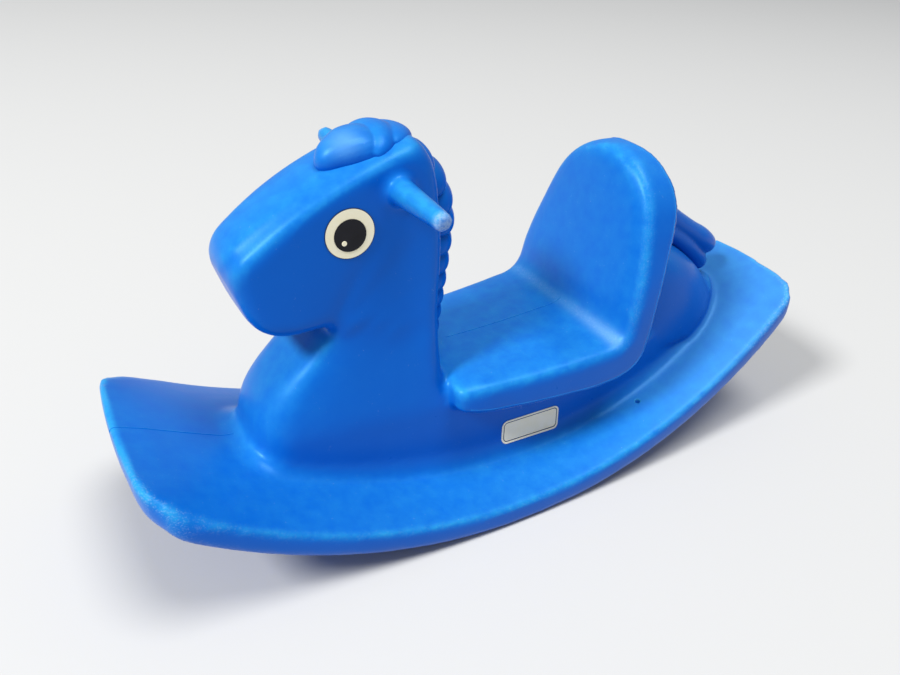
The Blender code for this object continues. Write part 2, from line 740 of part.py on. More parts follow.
def make_forelock():
    """The forelock: a full lock over the forehead, and a wide one over the poll behind it.

    The front lock is egg-shaped at its tip and broad at its rear, so it is made of two lobes.
    """
    lobes = []
    for number, ((centre, radii), tilt) in enumerate(zip(FORELOCK_LOBES, FORELOCK_TILTS)):
        name = "forelock" if not lobes else f"forelock_lobe_{number}"
        lobes.append(lobe(name, centre, radii, tilt))
    combine(lobes[0], lobes[1:], "UNION")
    clear = [neck_and_head_skin("forelock_clearance", HAIR_GAP, 0)]
    combine(lobes[0], clear, "DIFFERENCE")
    combine(bpy.data.objects["mane"], [lobe_clearance()], "DIFFERENCE")


def lobe_clearance():
    """A block over the poll that ends the mane a gap behind the forelock."""
    (x, _, z), (length, _, height) = FORELOCK_LOBES[-1]
    rear = x + length + GAP
    front = x - length
    low, high, half = z - 2 * height, z + 2 * height, 2 * MANE_TOP_HALF_WIDTH
    corners = [(a, b, c) for a in (front, rear) for b in (-half, half) for c in (low, high)]
    faces = [(0, 1, 3, 2), (4, 6, 7, 5), (0, 4, 5, 1), (2, 3, 7, 6), (0, 2, 6, 4), (1, 5, 7, 3)]
    return mesh_object("mane_end", corners, faces, blue_plastic())


def tail_lock(name, number, inset, ahead):
    """One round-ended lock of the tail, thinner by an inset and starting further ahead."""
    *knots, radius = TAIL_LOCKS[number]
    line = smooth_line([(x, 0, waist_height(x) + rise) for x, rise in knots])
    middle = len(line) - 1
    radii = [radius * (TAIL_ROOT_SHARE + (1 - TAIL_ROOT_SHARE) * i / middle) - inset
             for i in range(len(line))]
    line[0] = line[0] - Vector((ahead, 0, 0))
    along = (line[-1] - line[-2]).normalized()
    reach = radii[-1]
    line += [line[-1] + along * reach * share for share, _ in TAIL_TIP_SHARES]
    radii += [reach * share for _, share in TAIL_TIP_SHARES]
    return round_bar(name, line, radii, LOCK_SIDES, blue_plastic(), TAIL_SIDE_RATIO)


def make_tail():
    """The tail: thick hollow locks that hang from the seat back over the rump."""
    tail = tail_lock("tail", 0, 0, 0)
    combine(tail, [tail_lock("tail_lower", 1, 0, 0)], "UNION")
    clear = [tail_lock(f"tail_hollow_{number}", number, WALL, RUN_OUT) for number in (0, 1)]
    clear += [seat_skin("tail_seat_clearance", GAP), rump_skin("tail_rump_clearance", -GAP, 0)]
    combine(tail, clear, "DIFFERENCE")


def make_grip(name, side):
    """A tapered hand grip that stands out from the side of the head."""
    root = HEAD_SIDE + GAP
    reach = GRIP_REACH - root
    tip = GRIP_TIP_RADIUS
    stops = [(0.0, GRIP_ROOT_RADIUS + GRIP_FLARE), (0.02, GRIP_ROOT_RADIUS + GRIP_FLARE / 3),
             (0.06, GRIP_ROOT_RADIUS), (0.5, (GRIP_ROOT_RADIUS + tip) / 2),
             (1 - GRIP_TIP_EDGE / reach, tip), (1 - GRIP_TIP_EDGE / reach / 3, tip * 0.9),
             (1.0, tip - GRIP_TIP_EDGE)]
    path = [(GRIP_X, side * (root + reach * share), GRIP_Z) for share, _ in stops]
    round_bar(name, path, [radius for _, radius in stops], GRIP_SIDES, blue_plastic())


def disc(name, x, z, inner_y, radius, side, material):
    """A thin round sticker on the side of the head."""
    path = [(x, side * inner_y, z), (x, side * (inner_y + STICKER_THICKNESS), z)]
    round_bar(name, path, [radius, radius], DISC_SIDES, material)


def make_eye(which, side):
    """A cream disc, a black pupil on it and a small cream glint on the pupil."""
    first = HEAD_SIDE + GAP
    second = first + STICKER_THICKNESS + GAP
    third = second + STICKER_THICKNESS + GAP
    pupil_z = EYE_Z - PUPIL_DROP
    disc(f"eye_disc_{which}", EYE_X, EYE_Z, first, EYE_RADIUS, side, cream_vinyl())
    disc(f"eye_pupil_{which}", EYE_X, pupil_z, second, PUPIL_RADIUS, side, black_vinyl())
    disc(f"eye_glint_{which}", EYE_X + GLINT_DX, pupil_z + GLINT_DZ, third, GLINT_RADIUS, side,
         cream_vinyl())


def barrel_side(x, z):
    """Half width of the barrel's outer face at a place on its side."""
    foot = deck_height(x, width_at(barrel_side_line(), x)) + REST_GAP
    share = (z - foot) / (waist_height(x) - foot)
    return width_at(grown_side(barrel_grow(share)), x)


def rounded(u, v, half_u, half_v, corner):
    """A point of a rectangle moved so that the rectangle's corners are round."""
    over_u = max(0.0, abs(u) - (half_u - corner))
    over_v = max(0.0, abs(v) - (half_v - corner))
    if over_u > 0 and over_v > 0:
        pull = max(over_u, over_v) / math.hypot(over_u, over_v)
        u -= math.copysign(over_u * (1 - pull), u)
        v -= math.copysign(over_v * (1 - pull), v)
    return u, v


def make_side_label(which, side):
    """A thin sticker that follows the barrel's side."""
    columns, rows = LABEL_COLUMNS, LABEL_ROWS
    half_u, half_v = LABEL_LENGTH / 2, LABEL_HEIGHT / 2
    points, faces, index = [], [], {}
    for layer in (0, 1):
        for i in range(columns + 1):
            for j in range(rows + 1):
                u = half_u * (2 * i / columns - 1)
                v = half_v * (2 * j / rows - 1)
                u, v = rounded(u, v, half_u, half_v, LABEL_CORNER)
                x, z = LABEL_X + u, LABEL_Z + v
                y = barrel_side(x, z) + LABEL_GAP + layer * STICKER_THICKNESS
                index[layer, i, j] = len(points)
                points.append((x, side * y, z))
    for layer in (0, 1):
        for i in range(columns):
            for j in range(rows):
                faces.append((index[layer, i, j], index[layer, i + 1, j],
                              index[layer, i + 1, j + 1], index[layer, i, j + 1]))
    border = [(i, 0) for i in range(columns)] + [(columns, j) for j in range(rows)]
    border += [(i, rows) for i in range(columns, 0, -1)] + [(0, j) for j in range(rows, 0, -1)]
    for a, b in zip(border, border[1:] + border[:1]):
        faces.append((index[(0, *a)], index[(0, *b)], index[(1, *b)], index[(1, *a)]))
    mesh_object(f"side_label_{which}", points, faces, cream_vinyl())


clear_scene()
make_rocker_base()
make_body_shell()
make_head_shell()
make_seat_shell()
make_rump_shell()
make_mane()
make_forelock()
make_tail()
for which, side in (("left", -1), ("right", 1)):
    make_grip(f"hand_grip_{which}", side)
    make_eye(which, side)
    make_side_label(which, side)
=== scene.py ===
# %% [markdown]
# # A moulded rocking horse
# A child's rocking horse made in one go: plastic powder is tumbled in a hot metal mould until it
# coats the walls, and the horse comes out hollow, with soft corners and no joints. This lesson
# models it the way such a toy is drawn: simple forms first, then one skin over all of them.

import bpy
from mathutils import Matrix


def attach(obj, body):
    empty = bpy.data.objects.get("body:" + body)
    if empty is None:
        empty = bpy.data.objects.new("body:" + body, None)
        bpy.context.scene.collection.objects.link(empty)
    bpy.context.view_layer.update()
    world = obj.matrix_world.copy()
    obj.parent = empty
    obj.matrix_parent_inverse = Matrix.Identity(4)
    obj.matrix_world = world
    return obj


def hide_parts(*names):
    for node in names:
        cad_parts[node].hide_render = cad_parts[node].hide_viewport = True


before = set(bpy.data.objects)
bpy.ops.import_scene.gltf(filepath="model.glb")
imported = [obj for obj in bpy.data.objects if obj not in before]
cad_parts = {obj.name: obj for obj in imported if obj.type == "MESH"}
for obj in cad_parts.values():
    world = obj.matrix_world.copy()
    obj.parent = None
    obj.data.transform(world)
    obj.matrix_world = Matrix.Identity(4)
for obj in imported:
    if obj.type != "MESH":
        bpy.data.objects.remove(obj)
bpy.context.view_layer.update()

import math

import bmesh
import bpy
import numpy as np
from mathutils import Matrix, Vector
from mathutils.bvhtree import BVHTree

# %% [markdown]
# ## Tools for the bench
# Most forms of this horse are made the same way. A circle is added, its points are laid on the
# first cross-section, and then it is extruded from one section to the next like a tube being
# drawn. Sections measured from the photograph are sparse, so a smooth line adds more between them.

# %% A clean start for each piece
def deselect():
    if bpy.context.object and bpy.context.object.mode != "OBJECT":
        bpy.ops.object.mode_set(mode="OBJECT")
    bpy.ops.object.select_all(action="DESELECT")


def pick(piece):
    deselect()
    piece.select_set(True)
    bpy.context.view_layer.objects.active = piece


def tell(piece):
    triangles = sum(len(face.vertices) - 2 for face in piece.data.polygons)
    low, high = piece.bound_box[0], piece.bound_box[6]
    print(piece.name, triangles, "triangles, from", [round(value, 4) for value in low],
          "to", [round(value, 4) for value in high])


# %% Small jobs that every piece needs
def edit_all():
    """Opens the active piece in edit mode, with all of it selected."""
    bpy.ops.object.mode_set(mode="EDIT")
    bpy.ops.mesh.select_all(action="SELECT")


def face_outwards():
    """Turns the faces of the mesh being edited outwards, and leaves edit mode."""
    bpy.ops.mesh.select_all(action="SELECT")
    bpy.ops.mesh.normals_make_consistent(inside=False)
    bpy.ops.object.mode_set(mode="OBJECT")


def shade_soft(piece):
    pick(piece)
    bpy.ops.object.shade_smooth()


def join_as(name, parts):
    deselect()
    for part in parts:
        part.select_set(True)
    bpy.context.view_layer.objects.active = parts[0]
    bpy.ops.object.join()
    piece = bpy.context.object
    piece.name = name
    piece.data.name = name
    return piece


def wrap_skin(piece, voxel):
    """One closed skin round all the forms that a piece was joined from."""
    wrap = piece.modifiers.new("wrap", "REMESH")
    wrap.mode = "VOXEL"
    wrap.voxel_size = voxel
    bpy.ops.object.modifier_apply(modifier="wrap")


# %% Smooth sections between the measured ones
def flow(stations, step):
    """Stations with others between them, about a step apart, on a smooth line."""
    knots = [np.array(station, float) for station in stations]
    gaps = [max(float(np.linalg.norm(b - a)), 1e-6) for a, b in zip(knots, knots[1:])]
    steps = [(b - a) / gap for a, b, gap in zip(knots, knots[1:], gaps)]
    slopes = [steps[0]]
    for i in range(1, len(gaps)):
        slopes.append((steps[i - 1] * gaps[i] + steps[i] * gaps[i - 1])
                      / (gaps[i - 1] + gaps[i]))
    slopes.append(steps[-1])
    smooth = []
    for i, gap in enumerate(gaps):
        pieces = max(1, math.ceil(gap / step))
        for piece in range(pieces):
            t = piece / pieces
            smooth.append((2 * t ** 3 - 3 * t ** 2 + 1) * knots[i]
                          + (t ** 3 - 2 * t ** 2 + t) * gap * slopes[i]
                          + (3 * t ** 2 - 2 * t ** 3) * knots[i + 1]
                          + (t ** 3 - t ** 2) * gap * slopes[i + 1])
    smooth.append(knots[-1])
    return [tuple(float(value) for value in station) for station in smooth]


def read_off(line, x):
    """The second value at x on a line through points (x, value) with rising x."""
    for (x0, value0), (x1, value1) in zip(line, line[1:]):
        if x <= x1:
            return value0 + (value1 - value0) * (x - x0) / (x1 - x0)
    return line[-1][1]


# %% Extrude a circle from section to section
def draw_form(name, rings):
    """A closed form: a filled circle laid on the first ring and extruded through the others."""
    deselect()
    bpy.ops.mesh.primitive_circle_add(vertices=len(rings[0]), radius=0.05, fill_type="NGON")
    form = bpy.context.object
    form.name = name
    for vertex, point in zip(form.data.vertices, rings[0]):
        vertex.co = point
    edit_all()
    for before, ring in zip(rings, rings[1:]):
        bpy.ops.mesh.extrude_region_move()
        shape = bmesh.from_edit_mesh(form.data)
        moving = [vertex for vertex in shape.verts if vertex.select]
        places = {tuple(round(value, 6) for value in point): i for i, point in enumerate(before)}
        for vertex in moving:
            key = tuple(round(value, 6) for value in vertex.co)
            if key not in places:
                key = min(places, key=lambda place: (Vector(place) - vertex.co).length)
            vertex.co = ring[places[key]]
        bmesh.update_edit_mesh(form.data)
    face_outwards()
    return form


# %% [markdown]
# ## The rocker board
# The horse stands on a wide board whose underside is part of a circle, with a short flat where it
# comes to rest. Its plan is widest in the middle and has rounded corners, and the top face is a
# little crowned so that it sheds water and leaves the mould. The form starts as the outline of
# the underside, is extruded up round the rolled rim, and then in over the top face.

# %% Measures of the board
LENGTH = 0.835
WIDEST_X = -0.030
MID_HALF_WIDTH = 0.151
FRONT_HALF_WIDTH = 0.1225
TAIL_HALF_WIDTH = 0.113
BOARD_THICKNESS = 0.029
BOARD_CROWN = 0.021
TOP_RIM = 0.0065
LOW_RIM = 0.0080
FRONT_CORNER = 0.034
TAIL_CORNER = 0.022
END_BOW = 0.0085
ROCK_RADIUS = 0.676
REST_X = -0.0155
REST_FLAT = 0.060
LONG_STEPS = 24
END_STEPS = 28
QUARTER = [math.radians(22.5 * step) for step in range(5)]


def rocking_arc(x):
    flat = ROCK_RADIUS - math.sqrt(ROCK_RADIUS ** 2 - (REST_FLAT / 2) ** 2)
    return max(0.0, ROCK_RADIUS - math.sqrt(ROCK_RADIUS ** 2 - (x - REST_X) ** 2) - flat)


def upright(x, thickness):
    """The height that a thickness square to the arc takes at x."""
    return thickness * ROCK_RADIUS / math.sqrt(ROCK_RADIUS ** 2 - (x - REST_X) ** 2)


def board_half_width(x):
    end, half = (LENGTH / 2, TAIL_HALF_WIDTH) if x > WIDEST_X else (-LENGTH / 2, FRONT_HALF_WIDTH)
    return MID_HALF_WIDTH - (MID_HALF_WIDTH - half) * ((x - WIDEST_X) / (end - WIDEST_X)) ** 2


def deck_height(x, y):
    rim = board_half_width(x) - TOP_RIM
    crown = BOARD_CROWN * (1 - min(2 * abs(x) / LENGTH, 1) ** 6) * max(0.0, 1 - (y / rim) ** 2)
    return rocking_arc(x) + upright(x, BOARD_THICKNESS) + crown


# %% The board's outline at any distance in from its edge
def board_outline(inset):
    """Plan points round the board: the left side, the tail end, the right side, the front end."""
    reach = LENGTH / 2 - inset
    along = [math.sin(math.pi / 2 * step / LONG_STEPS) ** 0.8 for step in range(LONG_STEPS + 1)]
    rows = [-reach * share for share in reversed(along[1:])] + [reach * share for share in along]
    across = [-1 + step / END_STEPS for step in range(2 * END_STEPS + 1)]
    border = [(row, -1.0) for row in rows[:-1]]
    border += [(rows[-1], share) for share in across[:-1]]
    border += [(row, 1.0) for row in reversed(rows[1:])]
    border += [(rows[0], share) for share in reversed(across[1:])]
    outline = []
    for row, share in border:
        half = board_half_width(row) - inset
        corner = FRONT_CORNER if row < 0 else TAIL_CORNER
        x, y = row, share * half
        over_x = max(0.0, abs(x) - (reach - corner))
        over_y = max(0.0, abs(y) - (half - corner))
        if over_x > 0 and over_y > 0:
            pull = max(over_x, over_y) / math.hypot(over_x, over_y)
            x -= math.copysign(over_x * (1 - pull), x)
            y -= math.copysign(over_y * (1 - pull), y)
        bow = max(0.0, (abs(row) - reach + 3 * corner) / (3 * corner))
        x -= math.copysign(END_BOW * share ** 2 * bow ** 2, x)
        outline.append((x, y))
    return outline


# %% Draw the board: in under the belly, round the rim, in over the deck
def board_rings():
    rings = []
    for share in (0.02, 0.15, 0.3, 0.45, 0.6, 0.75, 0.88):
        rings.append([(x * share, y * share, rocking_arc(x * share))
                      for x, y in board_outline(LOW_RIM)])
    for turn in QUARTER:
        depth = LOW_RIM * (1 - math.cos(turn))
        rings.append([(x, y, rocking_arc(x) + upright(x, depth))
                      for x, y in board_outline(LOW_RIM * (1 - math.sin(turn)))])
    for turn in QUARTER:
        depth = BOARD_THICKNESS - TOP_RIM * (1 - math.sin(turn))
        rings.append([(x, y, rocking_arc(x) + upright(x, depth))
                      for x, y in board_outline(TOP_RIM * (1 - math.cos(turn)))])
    for share in (0.94, 0.88, 0.8, 0.7, 0.58, 0.45, 0.3, 0.15, 0.02):
        rings.append([(x * share, y * share, deck_height(x * share, y * share))
                      for x, y in board_outline(TOP_RIM)])
    return rings


board = draw_form("board_form", board_rings())
tell(board)

# %% [markdown]
# ## The barrel
# The horse's body stands on the board like a tub, blunt at the chest and long towards the tail.
# Its outline in plan was measured from the photograph. The foot flares a little, because plastic
# flows badly into a sharp corner, and sweeps further out under the chest. An oval tube would be
# quicker, but it would miss the square shoulders of the chest and the pointed tail end, so each
# section is the measured outline, made a little larger or smaller.

# %% Measures of the barrel
BARREL_PLAN = ((0.3590, 0.0), (0.3565, 0.0130), (0.3495, 0.0250), (0.3325, 0.0430),
               (0.2955, 0.0570), (0.2365, 0.0675), (0.1665, 0.0745), (0.0900, 0.0795),
               (0.0000, 0.0800), (-0.1000, 0.0770), (-0.1600, 0.0725), (-0.2100, 0.0685),
               (-0.2480, 0.0640), (-0.2690, 0.0595), (-0.2815, 0.0495), (-0.2885, 0.0360),
               (-0.2920, 0.0190), (-0.2930, 0.0))
BARREL_FLARE = 0.008
CHEST_FLARE = 0.016
CHEST_FLARE_SHARE = 0.55
CHEST_FROM_X = -0.20
CHEST_RUN = 0.09
BARREL_LEAN = 0.003
FLARE_SHARE = 0.3
SUNK = 0.012
WAIST = flow(((-0.34, 0.136), (-0.13, 0.136), (-0.098, 0.1352), (-0.080, 0.1306),
              (-0.065, 0.1280), (-0.02, 0.1238), (0.038, 0.1224), (0.096, 0.1240),
              (0.16, 0.131), (0.25, 0.148), (0.40, 0.178)), 0.01)


def barrel_side():
    """The barrel's plan on one side, from the tail end round to the chest."""
    first, last = BARREL_PLAN[1], BARREL_PLAN[-2]
    closed = [(first[0], -first[1]), *BARREL_PLAN, (last[0], -last[1])]
    return [(x, max(y, 0.0)) for x, y in flow(closed, 0.012) if y > -1e-5]


BARREL_SIDE = barrel_side()

# %% Draw the barrel from under the deck up to the waist
def barrel_outline(grow):
    rear, front = BARREL_SIDE[0][0], BARREL_SIDE[-1][0]
    middle, reach = (rear + front) / 2, (rear - front) / 2
    half = max(y for _, y in BARREL_SIDE)
    side = [(middle + (x - middle) * (1 + grow / reach), y * (1 + grow / half))
            for x, y in BARREL_SIDE]
    return side + [(x, -y) for x, y in reversed(side[1:-1])]


def barrel_rings():
    rings = [[(x, y, deck_height(x, y) - SUNK) for x, y in barrel_outline(BARREL_FLARE)]]
    for share in (0.0, 0.04, 0.08, 0.13, 0.19, 0.26, 0.35, 0.5, 0.7, 0.9, 1.0):
        flare = BARREL_FLARE * (1 - min(share / FLARE_SHARE, 1)) ** 2
        swept = CHEST_FLARE * (1 - min(share / CHEST_FLARE_SHARE, 1)) ** 2
        ring = []
        for x, y in barrel_outline(flare - BARREL_LEAN * share):
            x -= swept * max(min((CHEST_FROM_X - x) / CHEST_RUN, 1), 0)
            foot = deck_height(x, y)
            ring.append((x, y, foot + share * (read_off(WAIST, x) - foot)))
        rings.append(ring)
    rings.append([(x, y, read_off(WAIST, x) + 0.004) for x, y in barrel_outline(-SUNK)])
    return rings


barrel = draw_form("barrel_form", barrel_rings())
tell(barrel)

# %% [markdown]
# ## The neck and head
# The neck rises from the front of the barrel and the head bends forward over the throat, so its
# cross-sections fan round the throat like the ribs of a bent tube. Each section gives the point
# on the throat side, the point on the mane side, half the width and how round its corners are.
# The neck is blunt towards the chest, like the barrel it grows from, and square at the back. A
# head carved from a block would need many cuts to get the long, soft edges that sections give.

# %% Measures of the neck and head
NECK = (
    (-0.2905, 0.1160, -0.079, 0.1160, 0.0752, 0.014, 0.200),
    (-0.2900, 0.1368, -0.079, 0.1368, 0.0742, 0.014, 0.200),
    (-0.2830, 0.1540, -0.086, 0.1600, 0.0705, 0.016, 0.195),
    (-0.2720, 0.1710, -0.089, 0.1900, 0.0655, 0.016, 0.180),
    (-0.2555, 0.1890, -0.090, 0.2150, 0.0610, 0.015, 0.145),
    (-0.2360, 0.2070, -0.090, 0.2380, 0.0572, 0.014, 0.100),
    (-0.2180, 0.2270, -0.089, 0.2600, 0.0545, 0.013, 0.060),
)
HEAD = (
    (-0.2045, 0.2375, -0.0870, 0.2850, 0.0525, 0.013, 0.006),
    (-0.2045, 0.2410, -0.0870, 0.3200, 0.0510, 0.013, 0.006),
    (-0.2055, 0.2425, -0.0900, 0.3520, 0.0500, 0.013, 0.004),
    (-0.2070, 0.2430, -0.0935, 0.3780, 0.0500, 0.014, 0.002),
    (-0.2085, 0.2430, -0.0995, 0.4000, 0.0495, 0.016, 0.001),
    (-0.2105, 0.2430, -0.1140, 0.4165, 0.0490, 0.019, 0.001),
    (-0.2130, 0.2430, -0.1350, 0.4130, 0.0495, 0.016, 0.002),
    (-0.2160, 0.2430, -0.1570, 0.4050, 0.0500, 0.014, 0.006),
    (-0.2250, 0.2430, -0.1950, 0.3890, 0.0500, 0.012, 0.009),
    (-0.2380, 0.2425, -0.2270, 0.3730, 0.0495, 0.012, 0.009),
    (-0.2520, 0.2430, -0.2540, 0.3565, 0.0485, 0.013, 0.009),
    (-0.2650, 0.2465, -0.2765, 0.3400, 0.0470, 0.014, 0.009),
    (-0.2765, 0.2540, -0.2910, 0.3275, 0.0445, 0.014, 0.009),
    (-0.2850, 0.2650, -0.2980, 0.3160, 0.0390, 0.014, 0.009),
    (-0.2900, 0.2775, -0.2995, 0.3050, 0.0300, 0.012, 0.009),
)
NECK_DEPTH = 0.200
THROAT_RIM = 0.012
THROAT_CROWN = 0.002
CHEEK = 0.0500


# %% Cross-sections with round corners and crowned faces
def corner_points(width, height, radius, rising):
    """The points of a quarter round at the side of a section."""
    turns = [math.radians(15 * step) for step in range(7)]
    if rising:
        return [(width - radius + radius * math.cos(turn),
                 height - radius + radius * math.sin(turn)) for turn in turns]
    return [(width - radius + radius * math.sin(turn), radius - radius * math.cos(turn))
            for turn in turns]


def near_half(width, radius, crown):
    """The near half of a section: the crowned face from its middle, then the round corner."""
    face = []
    for share in (0.0, 0.25, 0.5, 0.7, 0.87):
        across = share * (width - radius)
        face.append((across, -crown * (1 - (across / width) ** 2)))
    return face + corner_points(width, 0, radius, False)


def far_half(width, height, radius, crown):
    """The far half of a section: the round corner, then the crowned face to its middle."""
    face = []
    for share in (0.85, 0.65, 0.45, 0.22, 0.0):
        across = share * (width - radius)
        face.append((across, height + crown * (1 - (across / width) ** 2)))
    return corner_points(width, height, radius, True) + face


def soften(side, count, passes=3):
    """A section's side with its points evenly spaced and the kinks between its faces eased."""
    line = np.array(side, float)
    reached = np.concatenate([[0], np.cumsum(np.hypot(*np.diff(line, axis=0).T))])
    even = np.linspace(0, reached[-1], count)
    line = np.column_stack([np.interp(even, reached, line[:, axis]) for axis in (0, 1)])
    for _ in range(passes):
        inner = 0.25 * line[:-2] + 0.5 * line[1:-1] + 0.25 * line[2:]
        ends = [(0.0, (line[0, 1] + line[1, 1]) / 2), (0.0, (line[-1, 1] + line[-2, 1]) / 2)]
        line = np.vstack([ends[0], inner, ends[1]])
    return [tuple(point) for point in line]


def stand_section(near, far, side):
    """Stands a section up between its near and far points and mirrors it."""
    start = Vector((near[0], 0, near[1]))
    along = (Vector((far[0], 0, far[1])) - start).normalized()
    whole = side + [(-across, up) for across, up in reversed(side[1:-1])]
    return [tuple(start + along * up + Vector((0, across, 0))) for across, up in whole]


def fit_radius(radius, width, height):
    return max(min(radius, width * 0.98, height * 0.48), 0.0008)


# %% Draw the neck and head
def neck_side(near, far, half, rim, widening):
    height = math.dist(near, far)
    radius = fit_radius(rim, half, height)
    front = BARREL_SIDE[-1][0]
    widths = BARREL_SIDE[::-1]
    full = read_off(widths, front + NECK_DEPTH)
    side = []
    for share in (0, 0.004, 0.012, 0.024, 0.04, 0.062, 0.09, 0.13, 0.18, 0.26, 0.36, 0.5,
                  0.68, 1):
        up = share * (height - radius)
        depth = min(up / widening, 1) * NECK_DEPTH
        side.append((half * read_off(widths, front + depth) / full, up))
    return side + far_half(side[-1][0], height, radius, 0)


def head_side(near, far, half, rim, crown):
    height = math.dist(near, far)
    low = fit_radius(THROAT_RIM, half, height)
    high = fit_radius(rim, half, height)
    side = near_half(half, low, THROAT_CROWN)
    for share in (1 / 3, 2 / 3):
        side.append((half, low + share * (height - high - low)))
    return side + far_half(half, height, high, crown)


def head_rings():
    rings = []
    for side, rows, step in ((neck_side, NECK, 0.008), (head_side, HEAD, 0.006)):
        for x0, z0, x1, z1, half, rim, fullness in flow(rows, step):
            near, far = (x0, z0), (x1, z1)
            rings.append(stand_section(near, far,
                                       soften(side(near, far, half, rim, fullness), 80)))
    return rings


head = draw_form("head_form", head_rings())
tell(head)

# %% [markdown]
# ## The seat and its back
# The seat is one thick slab that bends up into a tall back. Its sections run from the front lip,
# along the seat, round the bend and up to the rounded top. The top edges are rolled wide so that
# they are soft under a child's legs, and the underside is tighter. Drawn in one run, the seat and
# its back share one smooth bend, which two joined slabs would not have.

# %% Measures of the seat
SEAT = (
    (-0.0865, 0.1520, -0.0865, 0.1390, 0.0850),
    (-0.0850, 0.1560, -0.0850, 0.1350, 0.0905),
    (-0.0805, 0.1590, -0.0805, 0.1318, 0.0950),
    (-0.0700, 0.1608, -0.0700, 0.1294, 0.0985),
    (-0.0200, 0.1630, -0.0200, 0.1246, 0.1045),
    (0.0350, 0.1660, 0.0380, 0.1232, 0.1098),
    (0.0850, 0.1705, 0.0960, 0.1250, 0.1140),
    (0.1020, 0.1725, 0.1230, 0.1300, 0.1152),
    (0.1115, 0.1760, 0.1390, 0.1390, 0.1160),
    (0.1175, 0.1815, 0.1500, 0.1530, 0.1160),
    (0.1215, 0.1900, 0.1555, 0.1710, 0.1150),
    (0.1260, 0.2150, 0.1610, 0.2050, 0.1130),
    (0.1325, 0.2450, 0.1695, 0.2400, 0.1080),
    (0.1385, 0.2750, 0.1795, 0.2710, 0.0995),
    (0.1435, 0.3020, 0.1890, 0.2980, 0.0910),
    (0.1470, 0.3230, 0.1950, 0.3185, 0.0820),
    (0.1500, 0.3400, 0.1965, 0.3360, 0.0700),
    (0.1525, 0.3530, 0.1955, 0.3495, 0.0555),
    (0.1560, 0.3625, 0.1925, 0.3605, 0.0395),
    (0.1610, 0.3680, 0.1868, 0.3675, 0.0240),
    (0.1660, 0.3705, 0.1830, 0.3702, 0.0090),
)
SEAT_RIM = 0.0115
SEAT_UNDER_RIM = 0.0030
SEAT_CROWN = 0.006


def seat_side(near, far, half):
    height = math.dist(near, far)
    low = fit_radius(SEAT_RIM, half, height)
    high = fit_radius(SEAT_UNDER_RIM, half, height)
    side = near_half(half, low, SEAT_CROWN)
    side.append((half, (low + height - high) / 2))
    return side + far_half(half, height, high, 0)


seat = draw_form("seat_form", [
    stand_section((x0, z0), (x1, z1), soften(seat_side((x0, z0), (x1, z1), half), 110, 2))
    for x0, z0, x1, z1, half in flow(SEAT, 0.006)])
tell(seat)

# %% [markdown]
# ## The rump and the hand grips
# Behind the seat back the barrel swells into a rounded rump, drawn as ovals stacked level by
# level. The grips are two tapered pegs that stand out from the cheeks. Real ones are moulded with
# the head, so they start inside it.

# %% Draw the rump level by level
RUMP_FRONT = 0.145
RUMP = ((0.120, 0.3480, 0.0690), (0.150, 0.3470, 0.0690), (0.170, 0.3370, 0.0690),
        (0.195, 0.3160, 0.0680), (0.213, 0.2950, 0.0660), (0.229, 0.2710, 0.0620),
        (0.241, 0.2470, 0.0555), (0.249, 0.2250, 0.0460), (0.253, 0.2050, 0.0330))


def oval(front, rear, half, bluntness, count):
    outline = []
    for step in range(count):
        turn = 2 * math.pi * step / count
        along, across = [math.copysign(abs(share) ** (2 / bluntness), share)
                         for share in (math.cos(turn), math.sin(turn))]
        outline.append(((front + rear) / 2 + (rear - front) / 2 * along, half * across))
    return outline


rump = draw_form("rump_form", [
    [(x, y, level) for x, y in oval(RUMP_FRONT, rear, half, 2.2, 64)]
    for level, rear, half in flow(RUMP, 0.006)])
tell(rump)

# %% Turn a peg for each grip
GRIP_X = -0.1375
GRIP_Z = 0.3760
GRIP_REACH = 0.1350
GRIP_ROOT = 0.0135
GRIP_TIP = 0.0090


def turn_grip(name, side):
    """A disc on the cheek, extruded outwards and made smaller stop by stop."""
    deselect()
    bpy.ops.mesh.primitive_circle_add(vertices=40, radius=GRIP_ROOT + 0.001, fill_type="NGON",
                                      location=(GRIP_X, side * (CHEEK - 0.012), GRIP_Z),
                                      rotation=(math.radians(90), 0, 0))
    grip = bpy.context.object
    grip.name = name
    bpy.ops.object.transform_apply(location=True, rotation=True, scale=True)
    edit_all()
    now_y, now_radius = CHEEK - 0.012, GRIP_ROOT + 0.001
    stops = ((CHEEK, GRIP_ROOT + 0.001), (CHEEK + 0.004, GRIP_ROOT),
             (0.090, (GRIP_ROOT + GRIP_TIP) / 2),
             (GRIP_REACH - 0.0035, GRIP_TIP), (GRIP_REACH - 0.001, GRIP_TIP * 0.9),
             (GRIP_REACH, GRIP_TIP * 0.68))
    for y, radius in stops:
        bpy.ops.mesh.extrude_region_move(
            TRANSFORM_OT_translate={"value": (0, side * (y - now_y), 0)})
        size = radius / now_radius
        bpy.ops.transform.resize(value=(size, 1, size),
                                 center_override=(GRIP_X, side * y, GRIP_Z))
        now_y, now_radius = y, radius
    face_outwards()
    return grip


grips = [turn_grip("grip_form_left", -1), turn_grip("grip_form_right", 1)]
tell(grips[0])

# %% [markdown]
# ## One skin
# The forms overlap like pieces of clay. They are joined, and a voxel remesh wraps one closed skin
# round all of them, the way the plastic coats the inside of the mould. A boolean union would do
# too, but it leaves sharp seams. A light smoothing takes away the voxel steps, and a stronger one
# works only in the hollow corners, where it leaves the fillets that a moulding always has. A last
# one eases the corner of the jaw and the line where the neck meets the barrel.

# %% Join the forms and wrap them
VOXEL = 0.0035

moulding = join_as("moulding", [board, barrel, head, seat, rump, *grips])
wrap_skin(moulding, VOXEL)
tell(moulding)


